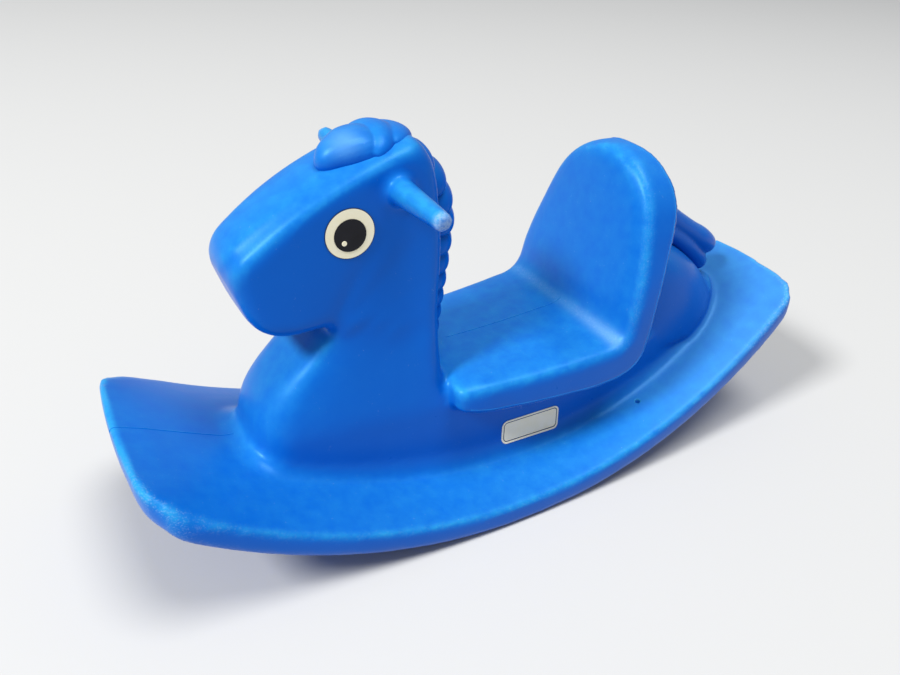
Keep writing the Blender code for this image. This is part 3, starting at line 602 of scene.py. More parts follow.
# %% Measure how sharply the skin bends at each point
def vertex_rows(piece, name):
    rows = np.empty(len(piece.data.vertices) * 3)
    piece.data.vertices.foreach_get(name, rows)
    return rows.reshape(-1, 3)


def edge_ends(piece):
    """The vertices at both ends of every edge, and how many edges each vertex has."""
    ends = np.empty(len(piece.data.edges) * 2, int)
    piece.data.edges.foreach_get("vertices", ends)
    a, b = ends.reshape(-1, 2).T
    count = len(piece.data.vertices)
    return a, b, np.maximum(np.bincount(a, minlength=count) + np.bincount(b, minlength=count), 1)


def bending(piece):
    """1 / radius of the skin at each vertex: positive on outer edges, negative in corners."""
    points, normals = vertex_rows(piece, "co"), vertex_rows(piece, "normal")
    a, b, edges = edge_ends(piece)
    reach = points[b] - points[a]
    squared = np.maximum((reach ** 2).sum(1), 1e-12)
    at_a = -2 * (normals[a] * reach).sum(1) / squared
    at_b = 2 * (normals[b] * reach).sum(1) / squared
    return (np.bincount(a, at_a, len(edges)) + np.bincount(b, at_b, len(edges))) / edges


def spread(piece, values, passes):
    """Each value averaged with its neighbours, a number of times."""
    a, b, edges = edge_ends(piece)
    for _ in range(passes):
        total = np.bincount(a, values[b], len(edges)) + np.bincount(b, values[a], len(edges))
        values = 0.5 * values + 0.5 * total / edges
    return values


# %% Smooth the skin, most of all in its hollow corners
def bump_on(distance, reach):
    return np.exp(-(distance / reach) ** 2)


def relax(piece, factor, repeats, group=""):
    smooth = piece.modifiers.new("relax", "SMOOTH")
    smooth.factor = factor
    smooth.iterations = repeats
    smooth.vertex_group = group
    pick(piece)
    bpy.ops.object.modifier_apply(modifier="relax")


JAW_CORNER = (-0.2080, 0.2430)
SHOULDER_Z = 0.1390

relax(moulding, 0.5, 3)
hollow = spread(moulding, np.clip(-bending(moulding) / 40, 0, 1), 3)
corners = moulding.vertex_groups.new(name="corners")
for index in np.nonzero(hollow > 0.05)[0]:
    corners.add([int(index)], float(min(hollow[index] * 2.2, 1)), "REPLACE")
relax(moulding, 0.5, 6, "corners")
shoulder = moulding.vertex_groups.new(name="shoulder")
for vertex in moulding.data.vertices:
    x, y, z = vertex.co
    share = max(bump_on(math.dist((x, z), JAW_CORNER), 0.017) * (abs(y) > 0.02),
                bump_on(z - SHOULDER_Z, 0.012) * (x < -0.10))
    if share > 0.05:
        shoulder.add([vertex.index], float(share), "REPLACE")
relax(moulding, 0.5, 45, "shoulder")
relax(moulding, 0.5, 1)
moulding.vertex_groups.clear()
tell(moulding)

# %% [markdown]
# ## The vent pit
# A tumbled moulding needs a small hole so that the air inside can get out. On this horse it shows
# as a dark pit in the deck. A hole cut right through would open the closed skin, so the faces
# round it are cut finer, and the middle is pushed in.

# %% Press the vent pit into the deck
VENT_X = 0.1755
VENT_Y = -0.0965
VENT_RADIUS = 0.0026
VENT_DEPTH = 0.005


def press_vent(piece):
    place = Vector((VENT_X, VENT_Y, deck_height(VENT_X, VENT_Y)))
    pick(piece)
    bpy.ops.object.mode_set(mode="EDIT")
    bpy.ops.mesh.select_mode(type="FACE")
    bpy.ops.mesh.select_all(action="DESELECT")
    shape = bmesh.from_edit_mesh(piece.data)
    for face in shape.faces:
        face.select = (face.calc_center_median() - place).length < 0.0075
    bmesh.update_edit_mesh(piece.data)
    bpy.ops.mesh.subdivide(number_cuts=5)
    bpy.ops.mesh.select_mode(type="VERT")
    shape = bmesh.from_edit_mesh(piece.data)
    for vertex in [vertex for vertex in shape.verts if (vertex.co - place).length < 0.005]:
        away = math.hypot(vertex.co.x - VENT_X, vertex.co.y - VENT_Y)
        if away < 1.25 * VENT_RADIUS:
            share = min(1, (1.25 * VENT_RADIUS - away) / (0.5 * VENT_RADIUS))
            vertex.co.z -= VENT_DEPTH * share
    bmesh.update_edit_mesh(piece.data)
    bpy.ops.object.mode_set(mode="OBJECT")


press_vent(moulding)
shade_soft(moulding)
tell(moulding)

# %% [markdown]
# ## The mane
# The mane is a ridge down the back of the neck, cast as a row of locks that overlap like roof
# tiles and sweep down from the middle to both sides. One closed tube is drawn along the ridge,
# and each of its points swells and pinches with its place in a lock. The locks get smaller
# towards the seat. Separate locks would leave hidden faces inside the ridge.

# %% Measures of the mane
MANE_LINE = ((-0.0880, 0.166), (-0.0865, 0.178), (-0.0830, 0.215), (-0.0790, 0.255),
             (-0.0755, 0.295), (-0.0740, 0.326), (-0.0800, 0.352), (-0.0950, 0.378),
             (-0.1180, 0.398))
MANE_LOCKS = 12
LOCK_STEPS = 20
MANE_SIDES = 40
MANE_DEPTH = 0.0205
MANE_LOW_HALF = 0.021
MANE_TOP_HALF = 0.032


def lock_swell(place):
    """1 on the fullest part of a lock, 0 in the groove between two locks."""
    share = place % 1
    return math.sin(math.pi * share ** 0.58) ** 0.6


# %% Draw the mane
def mane_rings():
    line = flow(MANE_LINE, 0.002)
    rings = []
    steps = LOCK_STEPS * MANE_LOCKS
    for step in range(steps + 1):
        share = (step / steps) ** 1.2
        place = share * (len(line) - 1)
        low = min(int(place), len(line) - 2)
        start, end = Vector(line[low]), Vector(line[low + 1])
        middle = start.lerp(end, place - low)
        along = (end - start).normalized()
        out = Vector((along.y, -along.x))
        half = MANE_LOW_HALF + (MANE_TOP_HALF - MANE_LOW_HALF) * share
        ring = []
        for turn_step in range(MANE_SIDES):
            turn = 2 * math.pi * turn_step / MANE_SIDES
            swell = lock_swell(step / LOCK_STEPS + 0.45 * abs(math.sin(turn)) ** 1.5)
            reach = MANE_DEPTH * (0.54 + 0.46 * swell) * math.cos(turn)
            across = half * (0.74 + 0.26 * swell) * math.sin(turn)
            ring.append((middle.x + out.x * reach, across, middle.y + out.y * reach))
        rings.append(ring)
    return rings


mane = draw_form("mane_locks", mane_rings())
shade_soft(mane)
tell(mane)

# %% [markdown]
# ## The forelock and the tail
# The forelock is one full lock, swept a little to the left of the forehead, with two narrower
# rolls of hair across the head behind it. The tail is two thick locks, one above the other, that
# arch from the seat back down over the rump. They could be sculpted, but a tube drawn along a
# short curve, closed at its end, gives each lock with a few measures. The locks of a bundle are
# wrapped in one skin like the horse itself, with finer voxels so that the grooves stay crisp.

# %% A lock of hair along a curve
LOCK_SIDES = 28


def ring_round(place, across, up, wide, deep, sides):
    """An oval of points round a place."""
    turns = [2 * math.pi * step / sides for step in range(sides)]
    return [tuple(place + across * wide * math.cos(turn) + up * deep * math.sin(turn))
            for turn in turns]


def draw_lock(name, knots):
    """A lock through (x, y, z, half width, half depth) knots, with its depth kept upright."""
    line = flow(knots, 0.003)
    rings = []
    for i, (x, y, z, wide, deep) in enumerate(line):
        ahead = Vector(line[min(i + 1, len(line) - 1)][:3]) - Vector(line[max(i - 1, 0)][:3])
        along = ahead.normalized()
        up = (Vector((0, 0, 1)) - along * along.z).normalized()
        rings.append(ring_round(Vector((x, y, z)), along.cross(up), up, max(wide, 0.0004),
                                max(deep, 0.0004), LOCK_SIDES))
    return draw_form(name, rings)


def round_end(knots):
    """Adds the knots of a rounded tip to a lock's centre line."""
    *start, wide, deep = knots[-1]
    along = (Vector(start) - Vector(knots[-2][:3])).normalized()
    tip = []
    for share in (0.35, 0.65, 0.85, 0.96, 0.999):
        size = math.sqrt(1 - share ** 2)
        tip.append((*(Vector(start) + along * deep * share), wide * size, deep * size))
    return [*knots, *tip]


def both_sides(half):
    """The knots of an arch over the head, from those of its left half, up to the middle."""
    return [*half, *((x, -y, z, wide, deep) for x, y, z, wide, deep in reversed(half[:-1]))]


def wrap_bundle(name, locks, voxel, passes):
    bundle = join_as(name, locks)
    wrap_skin(bundle, voxel)
    relax(bundle, 0.5, passes)
    bpy.ops.object.shade_smooth()
    tell(bundle)
    return bundle


# %% Draw the tail
TAIL_VOXEL = 0.0017
TAIL_UPPER = ((0.165, 0, 0.303, 0.0138, 0.0120), (0.205, 0, 0.296, 0.0150, 0.0130),
              (0.245, 0, 0.2785, 0.0158, 0.0138), (0.285, 0, 0.2525, 0.0158, 0.0138),
              (0.312, 0, 0.2350, 0.0165, 0.0145), (0.330, 0, 0.2235, 0.0178, 0.0158),
              (0.3440, 0, 0.2140, 0.0165, 0.0148))
TAIL_LOWER = ((0.165, 0, 0.276, 0.0138, 0.0120), (0.205, 0, 0.272, 0.0138, 0.0120),
              (0.245, 0, 0.258, 0.0155, 0.0135), (0.285, 0, 0.2345, 0.0161, 0.0140),
              (0.315, 0, 0.2105, 0.0167, 0.0145), (0.3355, 0, 0.1905, 0.0155, 0.0135))

tail = wrap_bundle("tail_locks", [
    draw_lock("tail_upper", round_end(TAIL_UPPER)),
    draw_lock("tail_lower", round_end(TAIL_LOWER)),
], TAIL_VOXEL, 4)

# %% Draw the forelock
FORELOCK_VOXEL = 0.0014
FRONT_LOCK = (
    (-0.2030, -0.0120, 0.3925, 0.0040, 0.0030), (-0.2005, -0.0120, 0.3940, 0.0085, 0.0080),
    (-0.1955, -0.0118, 0.3965, 0.0140, 0.0135), (-0.1870, -0.0105, 0.4000, 0.0200, 0.0180),
    (-0.1755, -0.0085, 0.4030, 0.0262, 0.0212), (-0.1640, -0.0060, 0.4050, 0.0305, 0.0215),
    (-0.1545, -0.0045, 0.4060, 0.0300, 0.0205), (-0.1495, -0.0038, 0.4065, 0.0270, 0.0190),
    (-0.1465, -0.0034, 0.4065, 0.0200, 0.0155), (-0.1450, -0.0030, 0.4065, 0.0100, 0.0090))
POLL_LOCK = (
    (-0.1560, -0.0350, 0.4040, 0.0060, 0.0050), (-0.1520, -0.0300, 0.4060, 0.0125, 0.0100),
    (-0.1440, -0.0170, 0.4095, 0.0190, 0.0155), (-0.1400, 0.0, 0.4115, 0.0215, 0.0165))
CREST_LOCK = (
    (-0.1350, -0.0300, 0.4110, 0.0060, 0.0050), (-0.1325, -0.0240, 0.4115, 0.0130, 0.0085),
    (-0.1280, -0.0120, 0.4120, 0.0195, 0.0115), (-0.1250, 0.0, 0.4120, 0.0215, 0.0120))

forelock = wrap_bundle("forelock_locks", [
    draw_lock("front_lock", FRONT_LOCK),
    draw_lock("poll_lock", both_sides(POLL_LOCK)),
    draw_lock("crest_lock", both_sides(CREST_LOCK)),
], FORELOCK_VOXEL, 3)

# %% [markdown]
# ## The parting line
# A mould is made of shells, and where two of them meet the plastic creeps into the joint and
# leaves a thin raised line. On this horse it runs along the middle, and a second one follows the
# rear edge of the seat back. The middle line is found by cutting a copy of the skin in two and
# keeping only the cut, which then becomes a thin bead.

# %% Cut the skin along its middle and keep the line
MIDDLE_RADIUS = 0.0006
EDGE_RADIUS = 0.0004


def middle_line(piece):
    pick(piece)
    bpy.ops.object.duplicate()
    line = bpy.context.object
    line.name = "middle_bead"
    edit_all()
    bpy.ops.mesh.bisect(plane_co=(0, 0.0001, 0), plane_no=(0, 1, 0), clear_inner=True,
                        clear_outer=True)
    bpy.ops.mesh.select_all(action="DESELECT")
    shape = bmesh.from_edit_mesh(line.data)
    for vertex in shape.verts:
        x, _, z = vertex.co
        on_front = x < -0.302 and rocking_arc(x) + 0.024 < z < 0.21
        on_seat = -0.054 < x < 0.112 and 0.150 < z < 0.188
        vertex.select = not (on_front or on_seat)
    bmesh.update_edit_mesh(line.data)
    bpy.ops.mesh.delete(type="VERT")
    bpy.ops.object.mode_set(mode="OBJECT")
    bpy.ops.object.convert(target="CURVE")
    line = bpy.context.object
    line.data.bevel_depth = MIDDLE_RADIUS
    line.data.bevel_resolution = 2
    line.data.use_fill_caps = True
    bpy.ops.object.convert(target="MESH")
    bead = bpy.context.object
    pick(bead)
    bpy.ops.object.mode_set(mode="EDIT")
    face_outwards()
    bpy.ops.object.shade_smooth()
    return bead


middle_bead = middle_line(moulding)
tell(middle_bead)

# %% Lay a bead along the rear edge of the seat and its back
surface = BVHTree.FromObject(moulding, bpy.context.evaluated_depsgraph_get())


def edge_points(side):
    """Points down one flank of the seat, a little in from its underside, laid on the skin."""
    points = []
    for x0, z0, x1, z1, half in flow(SEAT, 0.006):
        near, far = Vector((x0, 0, z0)), Vector((x1, 0, z1))
        up = (far - near).length - 0.0062
        if x1 < -0.075 or up < 0.004:
            continue
        place = near + (far - near).normalized() * up + Vector((0, side * half, 0))
        points.append(surface.find_nearest(place)[0])
    return points


def bead_along(name, points, radius):
    rings = []
    for i, point in enumerate(points):
        along = (points[min(i + 1, len(points) - 1)] - points[max(i - 1, 0)]).normalized()
        across = along.cross(Vector((0.3, 0.9, 0.1))).normalized()
        rings.append(ring_round(point, across, across.cross(along), radius, radius, 8))
    bead = draw_form(name, rings)
    shade_soft(bead)
    return bead


flank = edge_points(-1)
edge_bead = bead_along("edge_bead", flank + list(reversed(edge_points(1))), EDGE_RADIUS)
tell(edge_bead)

# %% [markdown]
# ## The plastic
# Blue polyethylene is softly glossy. Faces that look up and towards the front lamp get a painted
# sheen, and rolled edges that face up get a painted highlight, both a paler blue. The bend of the
# seat has a pale haze, partly rubbing and partly painted sheen, and the deck behind the seat is
# painted paler where the seat back shades it. Rubbing has scratched the board's corners and the
# tips of the grips. A painted picture could show that, but it would stretch over so bent a skin.
# So where these lie is measured on the skin and stored with it, and noises break it up.

# %% Store where the skin is worn, and where painted sheen and highlight go
SEAT_BEND = (0.1115, 0.1790)
FORELOCK_SHEEN_SPOT = Vector((-0.1790, -0.0200, 0.4160))


def store(piece, name, values):
    layer = piece.data.attributes.new(name, "FLOAT", "POINT")
    layer.data.foreach_set("value", np.ascontiguousarray(values, dtype=np.float32))


def store_wear(piece):
    """Rolled edges, knocks, worn grip tips, a haze with painted sheen in the seat's bend, and
    painted light on the deck behind the seat.
    """
    x, y, z = vertex_rows(piece, "co").T
    across = np.abs(y)
    edge = np.clip((spread(piece, bending(piece), 2) - 14) / 60, 0, 1)
    over_arc = z - np.array([rocking_arc(value) for value in np.clip(x, -0.419, 0.419)])
    rim = edge * (over_arc < 0.062) * (across > 0.05)
    corner = bump_on(np.hypot(np.abs(x) - 0.40, across - 0.105), 0.045) * (over_arc < 0.07)
    to_bend = np.hypot(x - SEAT_BEND[0], z - SEAT_BEND[1])
    crease = bump_on(to_bend, 0.0060) * (across < 0.112)
    flange = edge * (x > 0.12) * (z > 0.12) * (across > 0.02) * (z < 0.37)
    knock = np.clip(0.10 * rim + 0.26 * corner * (edge > 0.1) + 0.3 * crease + 0.22 * flange, 0, 1)
    # The haze in the seat's bend is partly rubbing and partly painted sheen, and it is made much
    # stronger on the left half. The deck behind the seat is painted paler where the seat back
    # shades it.
    haze_and_sheen = bump_on(to_bend, 0.0070) * (across < 0.110)
    tail_deck_sheen = 0.24 * np.clip((x - 0.16) / 0.18, 0, 1) * (over_arc > 0.022) * (over_arc < 0.058)
    store(piece, "edge", edge)
    store(piece, "haze_and_sheen", spread(piece, haze_and_sheen * (0.30 + 6.5 * np.clip(-y, 0, 1)) + tail_deck_sheen, 3))
    store(piece, "knock", spread(piece, knock, 1))
    store(piece, "tip", np.clip((across - 0.1265) / 0.005, 0, 1) * (z > 0.35) * (x < -0.1))
    print("rolled edge on", round(float(edge.mean()), 3), "of the skin")


store_wear(moulding)
# A painted highlight on top of the front lock, stored with the haze.
store(forelock, "haze_and_sheen", np.array([0.6 * bump_on((vertex.co - FORELOCK_SHEEN_SPOT).length, 0.014)
                                  for vertex in forelock.data.vertices]))
# The beads get a fixed share of rolled edge, so that the painted edge highlight pales them like
# the skin round them.
for bead in (middle_bead, edge_bead):
    store(bead, "edge", np.full(len(bead.data.vertices), 0.45))


# %% Blocks for building a finish
def new_finish(name):
    """A material with its nodes and its shader."""
    finish = bpy.data.materials.new(name)
    finish.use_nodes = True
    return finish, finish.node_tree, finish.node_tree.nodes["Principled BSDF"]


def maths(tree, operation, first, second, third=None, clamp=False):
    node = tree.nodes.new("ShaderNodeMath")
    node.operation = operation
    node.use_clamp = clamp
    for socket, value in zip(node.inputs, (first, second, third)):
        if isinstance(value, (int, float)):
            socket.default_value = value
        elif value is not None:
            tree.links.new(value, socket)
    return node.outputs[0]


def times(tree, first, second, clamp=False):
    return maths(tree, "MULTIPLY", first, second, clamp=clamp)


def add_times(tree, value, factor, start, clamp=False):
    """start + value x factor."""
    return maths(tree, "MULTIPLY_ADD", value, factor, start, clamp)


def fine_noise(tree, where, scale, detail=4, stretch=None):
    if stretch:
        turn = tree.nodes.new("ShaderNodeMapping")
        turn.inputs["Scale"].default_value = stretch
        tree.links.new(where, turn.inputs["Vector"])
        where = turn.outputs["Vector"]
    noise = tree.nodes.new("ShaderNodeTexNoise")
    noise.inputs["Scale"].default_value = scale
    noise.inputs["Detail"].default_value = detail
    noise.inputs["Roughness"].default_value = 0.6
    tree.links.new(where, noise.inputs["Vector"])
    return noise.outputs["Fac"]


def ramp(tree, value, low, high):
    """0 below low, 1 above high and even between them."""
    node = tree.nodes.new("ShaderNodeMapRange")
    node.inputs["From Min"].default_value = low
    node.inputs["From Max"].default_value = high
    tree.links.new(value, node.inputs["Value"])
    return node.outputs["Result"]


def blend_colour(tree, share, first, second):
    node = tree.nodes.new("ShaderNodeMix")
    node.data_type = "RGBA"
    tree.links.new(share, node.inputs["Factor"])
    for socket, colour in ((node.inputs["A"], first), (node.inputs["B"], second)):
        if isinstance(colour, tuple):
            socket.default_value = (*colour, 1)
        else:
            tree.links.new(colour, socket)
    return node.outputs["Result"]


def stored(tree, name):
    node = tree.nodes.new("ShaderNodeAttribute")
    node.attribute_name = name
    return node.outputs["Fac"]


def raise_relief(tree, shader, height, strength, distance):
    bump = tree.nodes.new("ShaderNodeBump")
    bump.inputs["Strength"].default_value = strength
    bump.inputs["Distance"].default_value = distance
    tree.links.new(height, bump.inputs["Height"])
    tree.links.new(bump.outputs["Normal"], shader.inputs["Normal"])


# %% The patterns and colours in the blue plastic
BLUE = (0.0, 0.104, 0.550)
DEEP_BLUE = (0.0, 0.092, 0.515)
# Paler blues for the painted sheen and highlight, and for the haze that is partly painted sheen.
SHEEN_BLUE = (0.018, 0.262, 0.600)
HAZE_SHEEN_BLUE = (0.130, 0.350, 0.690)
SCUFF = (0.30, 0.45, 0.70)
SUN = (-0.50, 0.0, 0.87)


def plastic_patterns(tree):
    """How much a face looks at the sun, then clouds, mottling, grit and streaks."""
    where = tree.nodes.new("ShaderNodeTexCoord").outputs["Object"]
    facing = tree.nodes.new("ShaderNodeVectorMath")
    facing.operation = "DOT_PRODUCT"
    facing.inputs[1].default_value = SUN
    tree.links.new(tree.nodes.new("ShaderNodeNewGeometry").outputs["Normal"], facing.inputs[0])
    return (facing.outputs["Value"], fine_noise(tree, where, 7, 3),
            fine_noise(tree, where, 60, 5), fine_noise(tree, where, 420, 5),
            fine_noise(tree, where, 60, 4, (3, 14, 14)))


def scuff_marks(tree, mottle, grit, streak):
    """Where the skin is scratched pale: rubbed patches, loose specks and the grips' tips."""
    patches = times(tree, ramp(tree, grit, 0.47, 0.62), ramp(tree, streak, 0.40, 0.60))
    rubbed = times(tree, stored(tree, "knock"), patches, clamp=True)
    specks = times(tree, ramp(tree, grit, 0.665, 0.70), ramp(tree, mottle, 0.5, 0.62))
    marks = maths(tree, "MAXIMUM", rubbed, times(tree, specks, 0.35), clamp=True)
    tips = times(tree, stored(tree, "tip"), ramp(tree, grit, 0.25, 0.6), clamp=True)
    return maths(tree, "MAXIMUM", marks, times(tree, tips, 0.75), clamp=True)


def cloudy_blue_with_sheen(tree, facing, sun_sheen, cloud, mottle):
    """The cloudy blue, paled by painted sheen on faces turned to the sun and by painted highlight
    on upward edges, and by haze that is partly rubbing and partly painted sheen.
    """
    base = blend_colour(tree, ramp(tree, cloud, 0.3, 0.7), DEEP_BLUE, BLUE)
    # Painted highlight: rolled edges that face up are painted paler.
    edge_highlight = times(tree, stored(tree, "edge"), ramp(tree, mottle, 0.1, 0.8))
    edge_highlight = times(tree, edge_highlight, ramp(tree, facing, -0.15, 0.55))
    # Painted sheen: the sun-facing faces and the edge highlight blend the blue towards a paler
    # one.
    painted_sheen = add_times(tree, sun_sheen, 0.75, times(tree, edge_highlight, 0.90), clamp=True)
    base = blend_colour(tree, painted_sheen, base, SHEEN_BLUE)
    # The stored haze, partly rubbing and partly painted sheen and highlight, shows only on faces
    # turned to the sun.
    haze_and_sheen = times(tree, stored(tree, "haze_and_sheen"), ramp(tree, facing, 0.05, 0.45), clamp=True)
    return blend_colour(tree, haze_and_sheen, base, HAZE_SHEEN_BLUE)


# %% Mix the blue plastic
def blue_polyethylene():
    plastic, tree, shader = new_finish("blue_polyethylene_worn_and_sheened")
    facing, cloud, mottle, grit, streak = plastic_patterns(tree)
    # Painted sheen: faces turned towards the front lamp are marked for a paler blue, broken up by
    # mottling, and made a little rougher.
    sun_sheen = times(tree, ramp(tree, facing, 0.12, 1.0), ramp(tree, mottle, -0.1, 0.8))
    marks = scuff_marks(tree, mottle, grit, streak)
    base = cloudy_blue_with_sheen(tree, facing, sun_sheen, cloud, mottle)
    tree.links.new(blend_colour(tree, marks, base, SCUFF), shader.inputs["Base Color"])
    dull = add_times(tree, mottle, 0.12, 0.24)
    dull = add_times(tree, sun_sheen, 0.10, dull)
    dull = add_times(tree, marks, 0.35, dull, clamp=True)
    tree.links.new(dull, shader.inputs["Roughness"])
    shader.inputs["Specular IOR Level"].default_value = 0.42
    shader.inputs["Specular Tint"].default_value = (0.20, 0.55, 1.0, 1)
    relief = add_times(tree, grit, 0.7, times(tree, mottle, 0.3))
    relief = add_times(tree, marks, -0.5, relief)
    raise_relief(tree, shader, relief, 0.22, 0.0004)
    return plastic


plastic = blue_polyethylene()
for piece in (moulding, mane, tail, forelock, middle_bead, edge_bead):
    piece.data.materials.clear()
    piece.data.materials.append(plastic)

# %% [markdown]
# ## The vinyl
# A printed sticker is smooth and a little glossy. The cream ink has yellowed unevenly, and fine
# dust dulls the black. One recipe with two close colours, a soft cloud between them and a fine
# grain serves for every ink.

# %% Mix the vinyl inks
def vinyl(name, colour, aged, roughness):
    ink, tree, shader = new_finish(name)
    shader.inputs["Specular IOR Level"].default_value = 0.2
    where = tree.nodes.new("ShaderNodeTexCoord").outputs["Object"]
    cloud = fine_noise(tree, where, 90, 4)
    grain = fine_noise(tree, where, 900, 3)
    tree.links.new(blend_colour(tree, ramp(tree, cloud, 0.35, 0.7), colour, aged),
                   shader.inputs["Base Color"])
    tree.links.new(add_times(tree, grain, 0.15, roughness), shader.inputs["Roughness"])
    raise_relief(tree, shader, grain, 0.1, 0.0002)
    return ink


cream = vinyl("cream_vinyl_aged", (0.98, 0.92, 0.71), (0.96, 0.89, 0.63), 0.28)
black = vinyl("black_vinyl_dusty", (0.004, 0.004, 0.007), (0.008, 0.008, 0.013), 0.22)
outline_ink = vinyl("outline_ink", (0.010, 0.030, 0.090), (0.014, 0.040, 0.110), 0.3)

# %% [markdown]
# ## The stickers
# The eyes are printed vinyl stickers: a cream disc with a dark outline, a black pupil and a small
# light spot. A disc is inset to draw the outline and the pupil, and each part gets its own ink.
# The label on each flank has rounded corners and a thin border, and is left plain. Real stickers
# follow the surface under them. The cheek is flat, so the eyes can be flat discs, but each point
# of a label is moved straight in until it lies on the curved flank.

# %% Cut the eyes
EYE_X = -0.1880
EYE_Z = 0.3420
EYE_RADIUS = 0.0250
PUPIL_RADIUS = 0.0160
VINYL = 0.0005
SIDES = (("left", -1), ("right", 1))


def thin_disc(name, x, z, radius, inner, side, slot, outline=0.0):
    deselect()
    bpy.ops.mesh.primitive_circle_add(vertices=72, radius=radius, fill_type="NGON",
                                      location=(x, side * inner, z),
                                      rotation=(math.radians(-90 * side), 0, 0))
    disc = bpy.context.object
    disc.name = name
    for ink in (cream, black, outline_ink):
        disc.data.materials.append(ink)
    bpy.ops.object.transform_apply(location=True, rotation=True, scale=True)
    edit_all()
    bpy.ops.mesh.extrude_region_move(TRANSFORM_OT_translate={"value": (0, side * VINYL, 0)})
    bpy.ops.mesh.inset(thickness=0.00015)
    bpy.ops.transform.translate(value=(0, side * 0.00008, 0))
    if outline:
        bpy.ops.mesh.inset(thickness=outline)
    shape = bmesh.from_edit_mesh(disc.data)
    for face in shape.faces:
        face.material_index = slot if face.select else (2 if outline else slot)
    bmesh.update_edit_mesh(disc.data)
    face_outwards()
    return disc


# %% Put the eyes together
def make_eye(which, side):
    inner = CHEEK + 0.0001
    eye = join_as(f"eye_{which}", [
        thin_disc("eye", EYE_X, EYE_Z, EYE_RADIUS, inner, side, 0, outline=0.0006),
        thin_disc("pupil", EYE_X, EYE_Z - 0.0015, PUPIL_RADIUS, inner + VINYL, side, 1),
        thin_disc("glint", EYE_X - 0.0062, EYE_Z - 0.0083, 0.0025, inner + 2 * VINYL, side, 0)])
    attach(eye, "root")
    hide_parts(f"eye_disc_{which}", f"eye_pupil_{which}", f"eye_glint_{which}")
    tell(eye)


for which, side in SIDES:
    make_eye(which, side)

# %% Cut the labels and press them on the flanks
LABEL_X = 0.0235
LABEL_Z = 0.0720
LABEL_LENGTH = 0.080
LABEL_HEIGHT = 0.031
LABEL_CORNER = 0.0075


def make_label(which, side):
    """A plane with its corners rounded, its border drawn by an inset, pressed on the skin."""
    deselect()
    bpy.ops.mesh.primitive_plane_add(size=1, location=(LABEL_X, side * 0.1, LABEL_Z),
                                     rotation=(math.radians(-90 * side), 0, 0))
    label = bpy.context.object
    label.name = f"label_{which}"
    label.data.name = label.name
    for ink in (cream, outline_ink):
        label.data.materials.append(ink)
    label.scale = (LABEL_LENGTH, LABEL_HEIGHT, 1)
    bpy.ops.object.transform_apply(location=True, rotation=True, scale=True)
    edit_all()
    bpy.ops.mesh.bevel(offset=LABEL_CORNER, segments=8, affect="VERTICES")
    bpy.ops.mesh.select_all(action="SELECT")
    bpy.ops.mesh.inset(thickness=0.0022)
    bpy.ops.mesh.inset(thickness=0.0011)
    shape = bmesh.from_edit_mesh(label.data)
    for vertex in shape.verts:
        start = Vector((vertex.co.x, side * 0.2, vertex.co.z))
        vertex.co.y = surface.ray_cast(start, Vector((0, -side, 0)))[0].y + side * 0.0002
    middle = max(shape.faces, key=lambda face: face.calc_area())
    for edge in middle.edges:
        for face in edge.link_faces:
            face.material_index = 0 if face is middle else 1
    bmesh.update_edit_mesh(label.data)
    bpy.ops.mesh.select_all(action="SELECT")
    bpy.ops.mesh.extrude_region_move(TRANSFORM_OT_translate={"value": (0, side * VINYL, 0)})
    face_outwards()
    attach(label, "root")
    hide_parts(f"side_label_{which}")
    tell(label)


for which, side in SIDES:
    make_label(which, side)

# %% [markdown]
# ## Floor, light and camera
# A plain pale floor, one large soft lamp in front of the horse's face and a larger one overhead
# show the shape without hard shadows. Both hang far off, so that the floor is evenly bright. The
# camera was fitted to the photograph, so its place and its directions are plain numbers.

# %% Put the camera where the photograph was taken from
CAMERA_PLACE = (-0.4525, -0.669, 0.641)
CAMERA_RIGHT = Vector((0.86694942, -0.49641033, 0.04444658))
CAMERA_UP = Vector((0.22488633, 0.46921099, 0.85397142))
LENS = 31.79


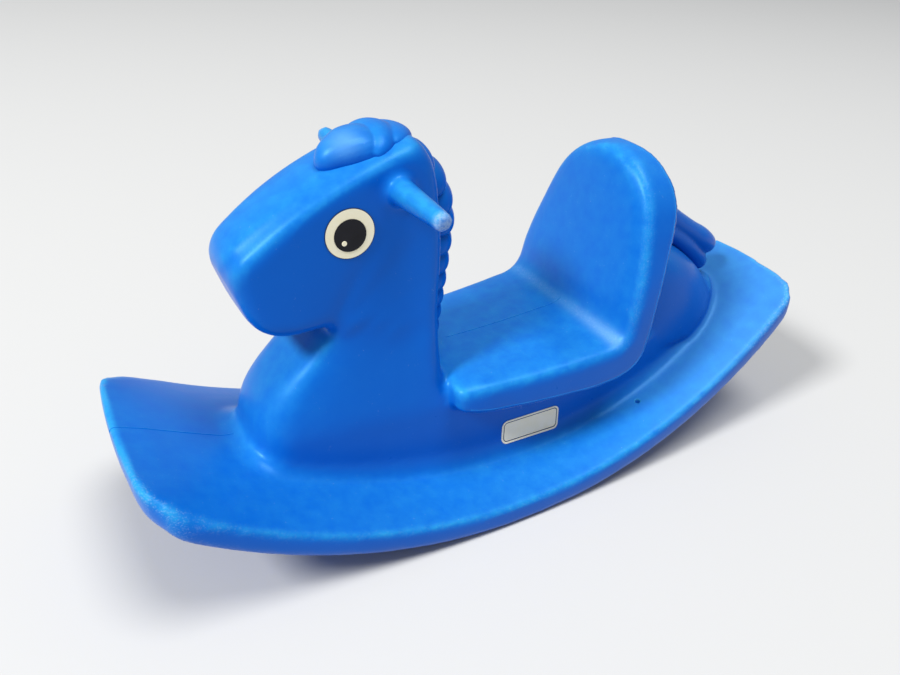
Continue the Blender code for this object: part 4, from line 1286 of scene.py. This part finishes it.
def set_camera():
    data = bpy.data.cameras.new("camera")
    camera = bpy.data.objects.new("camera", data)
    bpy.context.scene.collection.objects.link(camera)
    turn = Matrix((CAMERA_RIGHT, CAMERA_UP, CAMERA_RIGHT.cross(CAMERA_UP))).transposed()
    camera.matrix_world = Matrix.Translation(CAMERA_PLACE) @ turn.to_4x4()
    data.sensor_fit = "HORIZONTAL"
    data.sensor_width = 36
    data.lens = LENS
    bpy.context.scene.camera = camera
    print("camera", [round(value, 3) for value in CAMERA_PLACE])


set_camera()
bpy.context.scene.view_settings.view_transform = "Standard"

# %% A pale floor and soft lamps
def make_floor():
    deselect()
    bpy.ops.mesh.primitive_plane_add(size=14, location=(0, 0, 0))
    floor = bpy.context.object
    floor.name = "floor"
    paint, _, shader = new_finish("floor_paint")
    shader.inputs["Base Color"].default_value = (0.56, 0.56, 0.552, 1)
    shader.inputs["Roughness"].default_value = 0.9
    shader.inputs["Specular IOR Level"].default_value = 0.1
    floor.data.materials.append(paint)


def soft_lamp(name, place, aim, size, power):
    data = bpy.data.lights.new(name, "AREA")
    data.shape = "DISK"
    data.size = size
    data.energy = power
    lamp = bpy.data.objects.new(name, data)
    lamp.location = place
    lamp.rotation_euler = (Vector(aim) - Vector(place)).to_track_quat("-Z", "Y").to_euler()
    bpy.context.scene.collection.objects.link(lamp)


def make_world():
    world = bpy.data.worlds.new("room")
    world.use_nodes = True
    room = world.node_tree.nodes["Background"]
    room.inputs["Color"].default_value = (0.92, 0.95, 1.0, 1)
    room.inputs["Strength"].default_value = 0.34
    bpy.context.scene.world = world


make_floor()
soft_lamp("front_lamp", (-7.5, -0.9, 7.2), (0, 0, 0.2), 2.4, 1040)
soft_lamp("top_lamp", (1.0, -1.6, 9.0), (0, 0, 0.2), 4.5, 560)
make_world()

# %% Dress the frame and finish
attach(moulding, "root")
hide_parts("rocker_base", "body_shell", "head_shell", "seat_shell", "rump_shell",
            "hand_grip_left", "hand_grip_right")
for piece, node in ((mane, "mane"), (forelock, "forelock"), (tail, "tail")):
    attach(piece, "root")
    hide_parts(node)
for piece in (middle_bead, edge_bead):
    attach(piece, "root")
